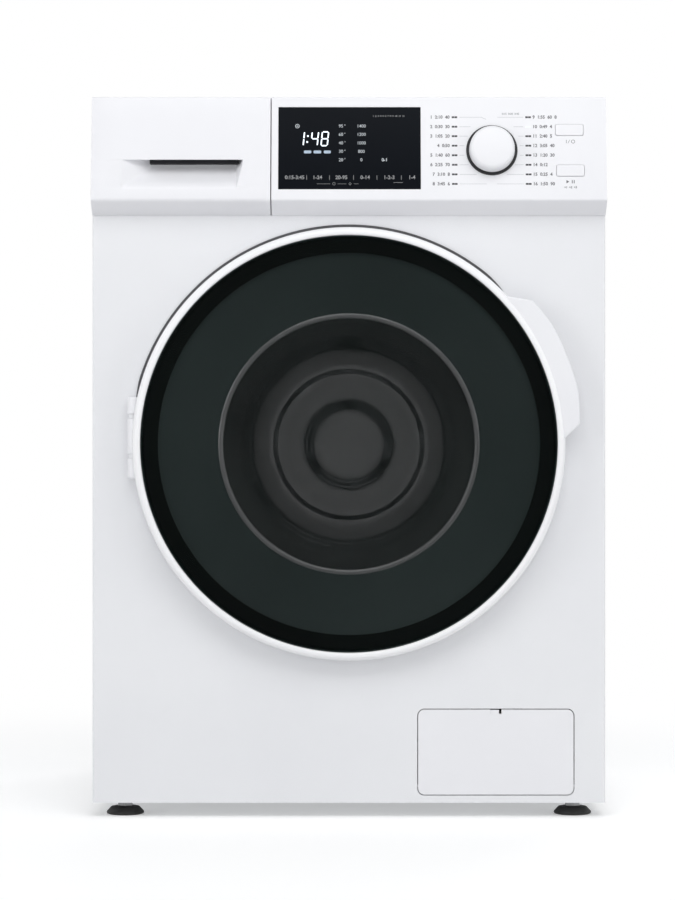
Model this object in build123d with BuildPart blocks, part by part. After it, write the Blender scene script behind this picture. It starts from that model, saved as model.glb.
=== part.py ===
from build123d import *
from math import asin, atan2, cos, hypot, radians, sin, sqrt
import os

os.makedirs("parts", exist_ok=True)

# Front-loading washer dryer. X runs to the right, -Y is the front, Z is up from the floor.
# The origin is on the floor, below the middle of the whole machine.

# Cabinet
width = 595.0
depth = 555.0
foot_gap = 17.0
tub_radius = 262.0
under_tub = 154.0
over_tub = 140.0
door_reach = 35.0
rear_reach = 20.0
sheet = 1.2
front_return = 14.0
side_flange = 18.0
tray_sheet = 2.0
tray_wall = 18.0
worktop_thick = 22.0

# Clearances
seam = 0.3
running_fit = 0.05
pin_fit = 0.02
panel_gap = 0.5

# Heights and depths that follow from the cabinet
front = -(door_reach + depth + rear_reach) / 2 + door_reach
back = front + depth
back_inner = back - sheet
base = foot_gap
axle_height = under_tub + tub_radius
body_height = axle_height + tub_radius + over_tub
top = base + body_height
side = width / 2
side_inner = side - sheet
floor_top = base + tray_sheet
board_under = top - worktop_thick
panel_inner = front + sheet

# Drum axis, which is also the middle of the door, and the door's rim
axle_z = base + axle_height
axle = Axis((0, 0, axle_z), (0, 1, 0))
axle_plane = Plane.XY.offset(axle_z)
glass_radius = tub_radius - 22.0
ring_width = 10.0
ring_radius = glass_radius + ring_width

# Control fascia: its face leans out from the top down to a lip, then turns back in
door_to_fascia = 15.0
lip_height = 15.5
fascia_lean = 20.0
fascia_proud = 4.0
lip_proud = 2.0
fascia_wall = 3.0
fascia_foot = axle_z + ring_radius + door_to_fascia
lip_z = fascia_foot + lip_height
face_top_y = front - fascia_proud
face_lip_y = face_top_y - fascia_lean
fascia_back = front + front_return
lean = atan2(fascia_lean, top - lip_z)
normal = (0, -cos(lean), sin(lean))


def face_y(z):
    return face_top_y - fascia_lean * (top - z) / (top - lip_z)


# Plane on the leaning face, its Z pointing out of the machine
def face_plane(x, z):
    return Plane(origin=(x, face_y(z), z), x_dir=(1, 0, 0), z_dir=normal)


# Plane through a control's own axis: its X is the radius, its Y the height above the face
def turning_plane(x, z):
    return Plane(origin=(x, face_y(z), z), x_dir=(1, 0, 0), z_dir=(0, -sin(lean), -cos(lean)))


def turning_axis(x, z):
    return Axis((x, face_y(z), z), normal)


# Upright plane at a depth, seen from the front: its Z points to the front
def upright(y):
    return Plane.XZ.offset(-y)


def block(x_span, y_span, z_span, mode=Mode.ADD):
    spans = (x_span, y_span, z_span)
    with Locations(tuple(sum(span) / 2 for span in spans)):
        Box(*(abs(span[1] - span[0]) for span in spans), mode=mode)


def rod_y(x, z, radius, y_span, mode=Mode.ADD):
    with Locations(Location((x, sum(y_span) / 2, z), (90, 0, 0))):
        Cylinder(radius, abs(y_span[1] - y_span[0]), mode=mode)


def rod_z(x, y, radius, z_span, mode=Mode.ADD):
    with Locations((x, y, sum(z_span) / 2)):
        Cylinder(radius, abs(z_span[1] - z_span[0]), mode=mode)


def rod_x(y, z, radius, x_span, mode=Mode.ADD):
    with Locations(Location((sum(x_span) / 2, y, z), (0, 90, 0))):
        Cylinder(radius, abs(x_span[1] - x_span[0]), mode=mode)


# Closed ring section on the axle plane: radius against depth
def band(r_inner, r_outer, y_start, y_end, mode=Mode.ADD):
    corners = [(r_inner, y_start), (r_outer, y_start), (r_outer, y_end), (r_inner, y_end)]
    Polygon(*corners, align=None, mode=mode)


def save(piece, name):
    piece.label = name
    export_step(piece, f"parts/{name}.step")


# Door, its opening and its hinge
door_gap = 1.7
opening_radius = 168.0
glass_thick = 3.5
glass_rim_drop = 7.5
hinge_x = 2.0 - ring_radius
hinge_out = 10.5
hinge_y = front - hinge_out
knuckle_radius = 8.0
hinge_pin_radius = 3.0
hinge_low = axle_z - 40.0
hinge_high = axle_z + 54.0
ear_thick = 5.0
ear_gap = 0.4
ear_offsets = (-14.0, 32.0)
door_back = front - door_gap
glass_front = front - door_reach
glass_rim = glass_front + glass_rim_drop

# Filter flap in the front panel
flap_right = side - 37.0
flap_left = flap_right - 180.2
flap_low = base + 9.4
flap_high = flap_low + 98.7
flap_corner = 7.3
flap_gap = 1.0
flap_thick = 2.5
flap_pin_radius = 1.5
flap_axis_y = front + 3.2
flap_axis_z = flap_low + 10.0
flap_ear = 2.0

# Drum, tub and what turns them
drum_radius = tub_radius - 22.0
drum_sheet = 1.2
drum_front = -190.0
drum_back = 170.0
mouth_radius = 165.0
tub_wall = 4.0
tub_front_y = -205.0
tub_split_y = -20.0
tub_back_y = 196.0
tub_plate = 6.0
collar_radius = 173.0
collar_wall = 3.0
collar_length = 14.0
shaft_radius = 15.0
bearing_radius = 31.0
bearing_width = 15.0
hub_radius = 45.0
hub_back_y = 236.0
pulley_radius = 138.0
pulley_y = 241.0
pulley_width = 14.0
belt_width = 10.0
belt_thick = 2.5
motor_x = 70.0
motor_z = axle_z - tub_radius - 59.0
motor_radius = 60.0
motor_pulley_radius = 10.0

# Detergent drawer at the left of the fascia
split_x = 207.5 - side
split_gap = 1.2
drawer_wall = 3.0
frame_front = fascia_back - 6.0
drawer_back = frame_front - seam
housing_left = 7.5 - side
housing_right = split_x - 5.0
housing_low = fascia_foot + 11.0
housing_high = top - 43.0
housing_wall = 2.4
housing_back = -10.0
tray_gap = 2.6
grip_left = 35.5 - side
grip_right = split_x - 32.0
grip_low = fascia_foot + 28.7
grip_high = grip_low + 34.4
grip_depth = 17.0
grip_ramp = 32.0

# Controls on the fascia
window_left = split_x + 8.4
window_right = window_left + 164.6
window_low = fascia_foot + 28.3
window_high = top - 12.1
knob_x = window_right + 82.0
knob_z = (window_low + window_high) / 2 - 2.7
knob_radius = 27.0
knob_rise = 17.0
surround_radius = 29.6
surround_rise = 2.0
encoder_radius = 3.0
button_width = 32.8
button_height = 14.1
button_gap = 0.4
button_corner = 2.0
button_proud = 1.0
button_travel = 1.5
power_x = side - 42.8
power_z = knob_z + 24.0
start_x = side - 42.0
start_z = knob_z - 23.7
board_depth = 14.0
board_thick = 1.6

# Springs, dampers, pump and plumbing
spring_x = (side_inner + tub_radius) / 2 - 29.15
spring_y = 20.0
spring_radius = 14.0
spring_bore = 9.0
spring_low = axle_z + tub_radius - 91.0
spring_high = top - 65.0
lug_thick = 8.0
damper_x = side - 132.5
damper_y = -40.0
damper_radius = 14.0
damper_bore = 9.0
damper_top = base + 113.0
damper_rod_radius = 6.0
damper_rod_top = axle_z - tub_radius + 29.0
piston_span = (base + 41.0, base + 57.0)
pump_x = side - 127.5
pump_z = base + 58.0
pump_radius = 38.0
filter_radius = 31.0
sump_y = -180.0
sump_radius = 20.0
drain_x = side - 81.5
hose_bore = 9.0
hose_wall = 3.0
drain_pin_radius = 10.5
inlet_pin_radius = 13.2
inlet_z = fascia_foot + 49.0
inlet_places = (97.5 - side, 157.5 - side)
gland_x = side - 67.5
gland_z = fascia_foot + 42.0
cord_bore = 4.5
foot_x = side - 35.5
foot_front_y = front + 38.0
foot_back_y = back - 35.0
foot_radius = 22.0
stem_radius = 5.0

# Rear cover and its screws
cover_half = side - 92.5
cover_low = base + 98.0
cover_high = fascia_foot - 43.0
cover_overlap = 15.0
cover_dish = 6.0
screw_head = 4.5
screw_shank = 1.9
screw_inset = 7.5
screw_length = 8.0
screw_rise = 2.4
cover_screws = []
for screw_x in (-cover_half + screw_inset, cover_half - screw_inset):
    for row in range(4):
        span = cover_high - cover_low - 2 * screw_inset
        cover_screws.append((screw_x, cover_low + screw_inset + span * row / 3))
transit_x = side - 57.5
transit_places = [(x, z) for x in (-transit_x, transit_x) for z in (axle_z - 183.0, axle_z + 177.0)]
transit_radius = 9.0
cap_radius = 14.0

hanger_thick = 3.0

# Left and right side panels, each with its flanges and the hanger of a suspension spring
for hand, name in ((-1, "side_panel_left"), (1, "side_panel_right")):
    flange_x = (hand * side, hand * (side - side_flange))
    with BuildPart() as side_panel:
        block((hand * side, hand * side_inner), (fascia_back + panel_gap, back_inner), (base, board_under))
        block(flange_x, (fascia_back + panel_gap, fascia_back + panel_gap + sheet), (base, fascia_foot))
        block(flange_x, (back_inner - sheet, back_inner), (base, board_under))
        hanger_x = (hand * side, hand * (spring_x - spring_radius))
        block(hanger_x, (spring_y - 12, spring_y + 12), (spring_high, spring_high + hanger_thick))
        plate_x = (hand * side, hand * (side_inner - hanger_thick))
        block(plate_x, (spring_y - 20, spring_y + 20), (spring_high - 50, spring_high))
        rod_z(hand * spring_x, spring_y, 4.0, (spring_high, spring_high + hanger_thick), Mode.SUBTRACT)
    save(side_panel.part, name)

# Front panel: a pressed tray with the door opening, the flap opening and slots for hinge and lock
lock_x = ring_radius - 25.0
hook_half = 5.0
hook_slot_half = 9.5
hook_height = 16.0
ear_half = 4.5
with BuildPart() as front_panel:
    block((-side, side), (front, fascia_back), (base, fascia_foot))
    upright_edges = front_panel.edges().filter_by(Axis.Z).group_by(Axis.Y)[0]
    fillet(upright_edges, radius=3.0)
    hollow_z = (base + sheet, fascia_foot - sheet)
    block((-side_inner, side_inner), (panel_inner, fascia_back), hollow_z, Mode.SUBTRACT)
    rod_y(0, axle_z, opening_radius, (front, panel_inner), mode=Mode.SUBTRACT)
    flap_mid = ((flap_left + flap_right) / 2, (flap_low + flap_high) / 2)
    with BuildSketch(upright(panel_inner)):
        with Locations(flap_mid):
            hole_width = flap_right - flap_left + 2 * flap_gap
            hole_height = flap_high - flap_low + 2 * flap_gap
            RectangleRounded(hole_width, hole_height, flap_corner + flap_gap)
        for offset_z in ear_offsets:
            with Locations((hinge_x, axle_z + offset_z)):
                Rectangle(2 * (ear_half + panel_gap), ear_thick + 2 * panel_gap)
        with Locations((lock_x, axle_z)):
            SlotOverall(hook_height + 2 * hook_slot_half, 2 * hook_slot_half, rotation=90)
    extrude(amount=sheet, mode=Mode.SUBTRACT)
    for ear_x in (flap_left - flap_gap - flap_ear, flap_right + flap_gap):
        block((ear_x, ear_x + flap_ear), (panel_inner, flap_axis_y + 4), (flap_axis_z - 4, flap_axis_z + 4))
        ear_span = (ear_x, ear_x + flap_ear)
        rod_x(flap_axis_y, flap_axis_z, flap_pin_radius + running_fit, ear_span, Mode.SUBTRACT)
save(front_panel.part, "front_panel")

# Filter flap: a plate that hinges on two stub pins at its lower edge, with a finger notch on top
notch_width = 13.0
notch_depth = 5.0
with BuildPart() as filter_flap:
    with BuildSketch(upright(front + flap_thick)):
        with Locations(flap_mid):
            RectangleRounded(flap_right - flap_left, flap_high - flap_low, flap_corner)
        with Locations((flap_mid[0], flap_high - notch_depth / 2)):
            Rectangle(notch_width, notch_depth, mode=Mode.SUBTRACT)
    extrude(amount=flap_thick)
    for hand, edge_x in ((1, flap_left), (-1, flap_right)):
        knuckle = (edge_x + hand * flap_corner, edge_x + hand * (flap_corner + 14))
        block(knuckle, (front + flap_thick, flap_axis_y + 2.5), (flap_axis_z - 2, flap_axis_z + 8))
        rod_x(flap_axis_y, flap_axis_z, flap_pin_radius, (edge_x - hand * (flap_gap + flap_ear), knuckle[1]))
    latch_x = (flap_mid[0] - 12, flap_mid[0] + 12)
    block(latch_x, (front + flap_thick, front + 9), (flap_high - 9, flap_high - 6.5))
save(filter_flap.part, "filter_flap")

# Base tray: floor, upturned walls, foot bosses and damper sockets
foot_places = [(x, y) for y in (foot_front_y, foot_back_y) for x in (-foot_x, foot_x)]
tray_side = side_inner - panel_gap
tray_y = (fascia_back + panel_gap + sheet + seam, back_inner - sheet - seam)
with BuildPart() as base_tray:
    block((-tray_side, tray_side), tray_y, (base, base + tray_wall))
    inner_y = (tray_y[0] + tray_sheet, tray_y[1] - tray_sheet)
    inner_x = tray_side - tray_sheet
    block((-inner_x, inner_x), inner_y, (floor_top, base + tray_wall), Mode.SUBTRACT)
    for x, y in foot_places:
        rod_z(x, y, 16.0, (floor_top, base + tray_wall))
        rod_z(x, y, stem_radius + pin_fit, (base, base + tray_wall), mode=Mode.SUBTRACT)
    for x in (-damper_x, damper_x):
        rod_z(x, damper_y, damper_radius + 5, (floor_top, floor_top + 10))
        rod_z(x, damper_y, damper_radius + pin_fit, (floor_top, floor_top + 10), mode=Mode.SUBTRACT)
save(base_tray.part, "base_tray")

# Four levelling feet, each a pad, a lock nut and a threaded stem
pad_height = 9.0
with BuildPart() as levelling_feet:
    for x, y in foot_places:
        with BuildSketch(Plane.XZ.offset(-y)):
            corners = [(0, 0), (foot_radius - 2, 0), (foot_radius, 2), (foot_radius - 6, pad_height)]
            stem_top = base + tray_wall + 6
            corners += [(stem_radius, pad_height), (stem_radius, stem_top), (0, stem_top)]
            Polygon(*[(x + r, z) for r, z in corners], align=None)
        revolve(axis=Axis((x, y, 0), (0, 0, 1)), revolution_arc=360)
        with BuildSketch(Plane.XY.offset(pad_height)):
            with Locations((x, y)):
                RegularPolygon(9.5, 6)
        extrude(amount=base - pad_height)
save(levelling_feet.part, "levelling_feet")

# Rear frame: the back sheet, cut away where the cover gives access to the belt
with BuildPart() as rear_frame:
    block((-side, side), (back_inner, back), (base, board_under))
    window_x = cover_half - cover_overlap
    block((-window_x, window_x), (back_inner, back), (cover_low + cover_overlap, cover_high - cover_overlap),
          Mode.SUBTRACT)
    for x, z in cover_screws:
        rod_y(x, z, screw_shank + 0.1, (back_inner, back), mode=Mode.SUBTRACT)
    for x, z in transit_places:
        rod_y(x, z, transit_radius, (back_inner, back), mode=Mode.SUBTRACT)
    for x in inlet_places:
        rod_y(x, inlet_z, inlet_pin_radius + seam, (back_inner, back), mode=Mode.SUBTRACT)
    rod_y(drain_x, pump_z, drain_pin_radius + seam, (back_inner, back), mode=Mode.SUBTRACT)
    rod_y(gland_x, gland_z, cord_bore + 3.5, (back_inner, back), mode=Mode.SUBTRACT)
save(rear_frame.part, "rear_frame")

# Rear cover: a dished plate screwed over the belt opening
with BuildPart() as rear_cover:
    with BuildSketch(upright(back + sheet)):
        with Locations((0, (cover_low + cover_high) / 2)):
            RectangleRounded(2 * cover_half, cover_high - cover_low, 12)
    extrude(amount=sheet)
    dish_half = cover_half - 2 * cover_overlap
    dish_tall = (cover_high - cover_low) - 4 * cover_overlap
    with BuildSketch(upright(back)):
        with Locations((0, (cover_low + cover_high) / 2)):
            RectangleRounded(2 * dish_half, dish_tall, 30)
    extrude(amount=-cover_dish - sheet, taper=20)
    with BuildSketch(upright(back)):
        with Locations((0, (cover_low + cover_high) / 2)):
            RectangleRounded(2 * (dish_half - sheet), dish_tall - 2 * sheet, 30 - sheet)
    extrude(amount=-cover_dish, taper=20, mode=Mode.SUBTRACT)
    for x, z in cover_screws:
        rod_y(x, z, screw_shank + 0.1, (back, back + sheet), mode=Mode.SUBTRACT)
save(rear_cover.part, "rear_cover")

# Screws of the rear cover
with BuildPart() as case_screws:
    for x, z in cover_screws:
        rod_y(x, z, screw_head, (back + sheet, back + sheet + screw_rise))
        rod_y(x, z, screw_shank, (back + sheet - screw_length, back + sheet))
        for half_x, half_z in ((3.0, 0.5), (0.5, 3.0)):
            cross_y = (back + sheet + screw_rise / 2, back + sheet + screw_rise)
            block((x - half_x, x + half_x), cross_y, (z - half_z, z + half_z), Mode.SUBTRACT)
save(case_screws.part, "case_screws")

# Caps that close the four transit bolt holes
with BuildPart() as transit_bolt_caps:
    for x, z in transit_places:
        rod_y(x, z, cap_radius, (back, back + 2.5))
        rod_y(x, z, transit_radius - seam, (back - 8, back))
        rod_y(x, z, transit_radius - 2.5, (back - 8, back - 1), mode=Mode.SUBTRACT)
save(transit_bolt_caps.part, "transit_bolt_caps")

# Worktop: a laminated board behind the fascia
with BuildPart() as worktop:
    block((-side, side), (fascia_back + panel_gap, back), (board_under, top))
    fillet(worktop.edges().filter_by(Axis.Y).group_by(Axis.Z)[-1], radius=4.0)
    fillet(worktop.edges().group_by(Axis.Z)[-1].filter_by(Axis.X).group_by(Axis.Y)[-1], radius=4.0)
save(worktop.part, "worktop")

# Channel across the top of the cabinet front, which carries the fascia
bar_low = housing_high + 3.0
bar_depth = 30.0
bar_y = (fascia_back + panel_gap, fascia_back + panel_gap + bar_depth)
with BuildPart() as top_crossbar:
    block((-side_inner, side_inner), bar_y, (bar_low, board_under))
    bar_hollow_y = (bar_y[0] + sheet, bar_y[1])
    block((-side_inner, side_inner), bar_hollow_y, (bar_low + sheet, board_under - sheet), Mode.SUBTRACT)
save(top_crossbar.part, "top_crossbar")

# Control fascia: a hollow moulding, with a frame at its left that the drawer shuts against
shell_left = split_x + split_gap / 2
outer_profile = [(face_top_y, top), (face_lip_y, lip_z), (front - lip_proud, fascia_foot)]
inner_profile = [(face_y(z) + fascia_wall, z) for z in (top - fascia_wall, lip_z + 0.5)]
inner_profile += [(front - lip_proud + fascia_wall + 0.5, fascia_foot + fascia_wall)]
button_places = ((power_x, power_z), (start_x, start_z))
window_mid = ((window_left + window_right) / 2, (window_low + window_high) / 2)
window_width = window_right - window_left
window_tall = (window_high - window_low) / cos(lean)
knob_hole = 12.0
with BuildPart() as control_fascia:
    with BuildSketch(Plane.YZ.offset(shell_left)):
        Polygon(*outer_profile, (fascia_back, fascia_foot), (fascia_back, top), align=None)
    extrude(amount=side - shell_left)
    fillet(control_fascia.edges().filter_by(Axis.X).group_by(Axis.Y)[0], radius=3.0)
    fillet(control_fascia.edges().filter_by(Axis.X).group_by(Axis.Z)[-1].group_by(Axis.Y)[0], radius=2.5)
    with BuildSketch(Plane.YZ.offset(shell_left + fascia_wall)):
        hollow_end = fascia_back + 1
        back_corners = [(hollow_end, fascia_foot + fascia_wall), (hollow_end, top - fascia_wall)]
        Polygon(*inner_profile, *back_corners, align=None)
    extrude(amount=side - shell_left - 2 * fascia_wall, mode=Mode.SUBTRACT)
    with BuildSketch(face_plane(*window_mid)):
        Rectangle(window_width, window_tall)
    extrude(amount=-3 * fascia_wall, both=True, mode=Mode.SUBTRACT)
    with BuildSketch(face_plane(knob_x, knob_z)):
        Circle(knob_hole + seam)
    extrude(amount=-2 * fascia_wall, mode=Mode.SUBTRACT)
    for x, z in button_places:
        with BuildSketch(face_plane(x, z)):
            RectangleRounded(button_width, button_height, button_corner + button_gap)
        extrude(amount=-2 * fascia_wall, mode=Mode.SUBTRACT)
    block((-side, shell_left), (frame_front, fascia_back), (fascia_foot, top))
    opening_x = (housing_left + housing_wall, housing_right - housing_wall)
    opening_z = (housing_low + housing_wall, housing_high - housing_wall)
    block(opening_x, (frame_front, fascia_back), opening_z, Mode.SUBTRACT)
save(control_fascia.part, "control_fascia")

# Dark window over the display, flush in the fascia
with BuildPart() as display_window:
    with BuildSketch(face_plane(*window_mid)):
        RectangleRounded(window_width - 2 * seam, window_tall - 2 * seam, 0.6)
    extrude(amount=-fascia_wall)
save(display_window.part, "display_window")

# Ring under the knob, with a sleeve through the fascia
sleeve_radius = 9.0
with BuildPart() as knob_surround:
    with BuildSketch(turning_plane(knob_x, knob_z)):
        corners = [(sleeve_radius, surround_rise), (surround_radius - 0.8, surround_rise)]
        corners += [(surround_radius, surround_rise - 0.8), (surround_radius, 0), (knob_hole, 0)]
        corners += [(knob_hole, -fascia_wall - 2), (sleeve_radius, -fascia_wall - 2)]
        Polygon(*corners, align=None)
    revolve(axis=turning_axis(knob_x, knob_z), revolution_arc=360)
save(knob_surround.part, "knob_surround")

# Control board behind the fascia: display block, knob encoder, key switches and power parts
knob_boss = 7.5
encoder_top = 10.0
board_left = window_left - 2.0
board_right = side - fascia_wall - 8.0
board_low = window_low - 4.0
board_high = window_high + 3.0
button_depth = 6.0
with BuildPart() as control_board:
    board_mid = ((board_left + board_right) / 2, (board_low + board_high) / 2)
    with BuildSketch(face_plane(*board_mid).offset(-board_depth)):
        Rectangle(board_right - board_left, (board_high - board_low) / cos(lean))
    extrude(amount=board_thick)
    with BuildSketch(face_plane(*window_mid).offset(-board_depth + board_thick)):
        Rectangle(window_width - 8, window_tall - 8)
    extrude(amount=board_depth - board_thick - fascia_wall)
    with BuildSketch(face_plane(knob_x, knob_z).offset(-board_depth + board_thick)):
        Rectangle(20, 20)
    extrude(amount=5)
    with BuildSketch(face_plane(knob_x, knob_z).offset(-board_depth + board_thick)):
        Circle(encoder_radius)
    extrude(amount=board_depth - board_thick + encoder_top)
    for x, z in button_places:
        with BuildSketch(face_plane(x, z).offset(-board_depth + board_thick)):
            Rectangle(8, 8)
        extrude(amount=board_depth - board_thick - button_depth - button_travel - seam)
    for x, tall, thick in ((30, 34, 20), (110, 40, 26), (215, 30, 18)):
        with BuildSketch(face_plane(x, board_mid[1] - 12).offset(-board_depth)):
            Rectangle(46, tall)
        extrude(amount=-thick)
save(control_board.part, "control_board")

# Program knob: a domed cap on a boss that turns on the encoder's shaft
knob_under = surround_rise + 0.5
knob_wall = 2.4
knob_draft = 0.5
knob_crown = 0.8
boss_depth = 4.0
with BuildPart() as program_knob:
    with BuildSketch(turning_plane(knob_x, knob_z)):
        with BuildLine():
            rim_turn = 4.0
            bore = encoder_radius + running_fit
            inner_wall = knob_radius - knob_wall
            rim_side = (knob_radius - knob_draft, knob_rise - rim_turn)
            rim_top = (knob_radius - knob_draft - rim_turn, knob_rise)
            Polyline((bore, -boss_depth), (knob_boss, -boss_depth), (knob_boss, knob_rise - 6),
                     (inner_wall - 3, knob_rise - 6), (inner_wall, knob_rise - 9), (inner_wall, knob_under),
                     (knob_radius, knob_under), rim_side)
            RadiusArc(rim_side, rim_top, -rim_turn)
            Polyline(rim_top, (0, knob_rise + knob_crown), (0, encoder_top + seam),
                     (bore, encoder_top + seam), (bore, -boss_depth))
        make_face()
    revolve(axis=turning_axis(knob_x, knob_z), revolution_arc=360)
save(program_knob.part, "program_knob")

# Two push buttons, each held behind the fascia by its flange
for (x, z), name in zip(button_places, ("power_button", "start_button")):
    with BuildPart() as button:
        with BuildSketch(face_plane(x, z).offset(-button_depth)):
            cap_width = button_width - 2 * button_gap
            cap_height = button_height - 2 * button_gap
            RectangleRounded(cap_width, cap_height, button_corner)
        extrude(amount=button_depth + button_proud)
        fillet(button.faces().sort_by(turning_axis(x, z))[-1].edges(), radius=0.8)
        with BuildSketch(face_plane(x, z).offset(-button_depth)):
            Rectangle(cap_width + 4, cap_height + 3)
        extrude(amount=button_depth - fascia_wall - seam)
    save(button.part, name)

# Drawer front: the left end of the fascia, hollow behind, with a scooped grip
drawer_right = split_x - split_gap / 2
with BuildPart() as grip_scoop:
    with BuildSketch(Plane.YZ.offset(grip_left)):
        deep_y = face_y(grip_high) + grip_depth
        scoop = [(face_y(grip_low), grip_low), (deep_y, grip_high - 8), (deep_y, grip_high)]
        clear = [(face_y(grip_high), grip_high), (face_lip_y - 5, grip_high), (face_lip_y - 5, grip_low)]
        Polygon(*scoop, *clear, align=None)
    extrude(amount=grip_right - grip_left)
    with BuildSketch(Plane.XY.offset(grip_low - 1)):
        ramp = [(grip_left - 1, deep_y + 1), (grip_left - 1, face_y(grip_low)), (grip_left, face_y(grip_low))]
        Polygon(*ramp, (grip_left + grip_ramp, deep_y + 1), align=None)
    extrude(amount=grip_high - grip_low + 2, mode=Mode.SUBTRACT)
with BuildPart() as grip_backing:
    with BuildSketch(Plane.YZ.offset(grip_left - drawer_wall)):
        Polygon(*outer_profile, (drawer_back, fascia_foot), (drawer_back, top), align=None)
    extrude(amount=grip_right - grip_left + 2 * drawer_wall)
    block((grip_left - drawer_wall, grip_right + drawer_wall), (face_lip_y - 5, drawer_back),
          (grip_low - drawer_wall, grip_high + drawer_wall), Mode.INTERSECT)
with BuildPart() as drawer_front:
    with BuildSketch(Plane.YZ.offset(-side)):
        Polygon(*outer_profile, (drawer_back, fascia_foot), (drawer_back, top), align=None)
    extrude(amount=drawer_right + side)
    fillet(drawer_front.edges().filter_by(Axis.X).group_by(Axis.Y)[0], radius=3.0)
    fillet(drawer_front.edges().filter_by(Axis.X).group_by(Axis.Z)[-1].group_by(Axis.Y)[0], radius=2.5)
    with BuildSketch(Plane.YZ.offset(-side + fascia_wall)):
        hollow_end = drawer_back + 1
        back_corners = [(hollow_end, fascia_foot + fascia_wall), (hollow_end, top - fascia_wall)]
        Polygon(*inner_profile, *back_corners, align=None)
    extrude(amount=drawer_right + side - 2 * fascia_wall, mode=Mode.SUBTRACT)
    add(grip_backing.part)
    add(grip_scoop.part, mode=Mode.SUBTRACT)
save(drawer_front.part, "drawer_front")

# Soft strip along the roof of the grip
strip_left = grip_left + grip_ramp
strip_right = grip_right - 5.5
strip_thick = 4.4
with BuildPart() as drawer_grip:
    strip_y = (face_y(grip_high) + 2.5, deep_y)
    block((strip_left, strip_right), strip_y, (grip_high - strip_thick, grip_high))
    fillet(drawer_grip.edges().filter_by(Axis.X).group_by(Axis.Y)[0].group_by(Axis.Z)[0], radius=1.2)
save(drawer_grip.part, "drawer_grip")

# Drawer tray: three compartments on two runners
tray_left = housing_left + housing_wall + tray_gap
tray_right = housing_right - housing_wall - tray_gap
runner_low = housing_low + housing_wall + seam
tray_low = runner_low + 4.0
tray_high = housing_high - housing_wall - 8.0
tray_wall_thick = 2.2
tray_back = housing_back - 12.0
divider_x = tray_left + 118.0
divider_y = -132.0
with BuildPart() as drawer_tray:
    block((tray_left, tray_right), (drawer_back, tray_back), (tray_low, tray_high))
    main_x = (tray_left + tray_wall_thick, divider_x)
    small_x = (divider_x + tray_wall_thick, tray_right - tray_wall_thick)
    tray_inner_y = (drawer_back + tray_wall_thick, tray_back - tray_wall_thick)
    tray_floor = tray_low + tray_wall_thick
    block(main_x, tray_inner_y, (tray_floor, tray_high), Mode.SUBTRACT)
    block(small_x, (tray_inner_y[0], divider_y), (tray_floor, tray_high), Mode.SUBTRACT)
    block(small_x, (divider_y + tray_wall_thick, tray_inner_y[1]), (tray_floor, tray_high), Mode.SUBTRACT)
    for runner_x in (tray_left + 6, tray_right - 9):
        block((runner_x, runner_x + 3), (drawer_back, tray_back), (runner_low, tray_low))
save(drawer_tray.part, "drawer_tray")

# Siphon cap over the rear small compartment
with BuildPart() as siphon_cap:
    cap_x = (divider_x, tray_right)
    cap_y = (divider_y + 40, tray_back)
    block(cap_x, cap_y, (tray_high, tray_high + 2))
    cap_mid = ((cap_x[0] + cap_x[1]) / 2, (cap_y[0] + cap_y[1]) / 2)
    rod_z(*cap_mid, 9.0, (tray_floor + 4, tray_high))
    rod_z(*cap_mid, 6.5, (tray_floor + 4, tray_high - 1), mode=Mode.SUBTRACT)
    fillet(siphon_cap.edges().filter_by(Axis.Z).group_by(Axis.Y)[0], radius=6)
save(siphon_cap.part, "siphon_cap")

# Dispenser housing: open in front, with inlet stubs behind and an outlet stub below
stub_radius = 6.0
hose_x = (housing_left + housing_right) / 2 + 12.5
hose_y = -60.0
outlet_radius = 14.0
outlet_low = housing_low - 14.0
with BuildPart() as dispenser_housing:
    block((housing_left, housing_right), (fascia_back, housing_back), (housing_low, housing_high))
    for x in inlet_places:
        rod_y(x, inlet_z, stub_radius, (housing_back, housing_back + 16))
    rod_z(hose_x, hose_y, outlet_radius, (outlet_low, housing_low))
    block(opening_x, (fascia_back, housing_back - housing_wall), opening_z, Mode.SUBTRACT)
    rod_z(hose_x, hose_y, outlet_radius - 2.5, (outlet_low, housing_low + housing_wall), mode=Mode.SUBTRACT)
save(dispenser_housing.part, "dispenser_housing")

# Twin inlet valve on the rear frame, its threaded stubs reaching out behind
inlet_end = back + rear_reach
valve_depth = 46.0
thread_relief = 1.2
relief_length = 1.0
with BuildPart() as inlet_valve:
    valve_x = (inlet_places[0] - 22, inlet_places[1] + 22)
    block(valve_x, (back_inner - valve_depth, back_inner), (inlet_z - 18, inlet_z + 18))
    for x in inlet_places:
        rod_y(x, inlet_z, inlet_pin_radius - thread_relief, (back_inner, back + relief_length))
        rod_y(x, inlet_z, inlet_pin_radius, (back + relief_length, inlet_end))
        rod_y(x, inlet_z, 8.0, (back_inner + 4, inlet_end), mode=Mode.SUBTRACT)
        rod_y(x, inlet_z, stub_radius, (back_inner - valve_depth - 16, back_inner - valve_depth))
        rod_z(x, back_inner - 30, 13.0, (inlet_z + 18, inlet_z + 40))
save(inlet_valve.part, "inlet_valve")

# Drain connector on the rear frame
connector_flange = 18.0
with BuildPart() as drain_spigot:
    rod_y(drain_x, pump_z, connector_flange, (back_inner - 3, back_inner))
    rod_y(drain_x, pump_z, drain_pin_radius - thread_relief, (back_inner, back + relief_length))
    rod_y(drain_x, pump_z, drain_pin_radius, (back + relief_length, inlet_end - 2))
    rod_y(drain_x, pump_z, hose_bore - seam, (back_inner - 22, back_inner - 3))
    rod_y(drain_x, pump_z, hose_bore - 2.5, (back_inner - 22, inlet_end - 2), mode=Mode.SUBTRACT)
save(drain_spigot.part, "drain_spigot")

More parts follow.
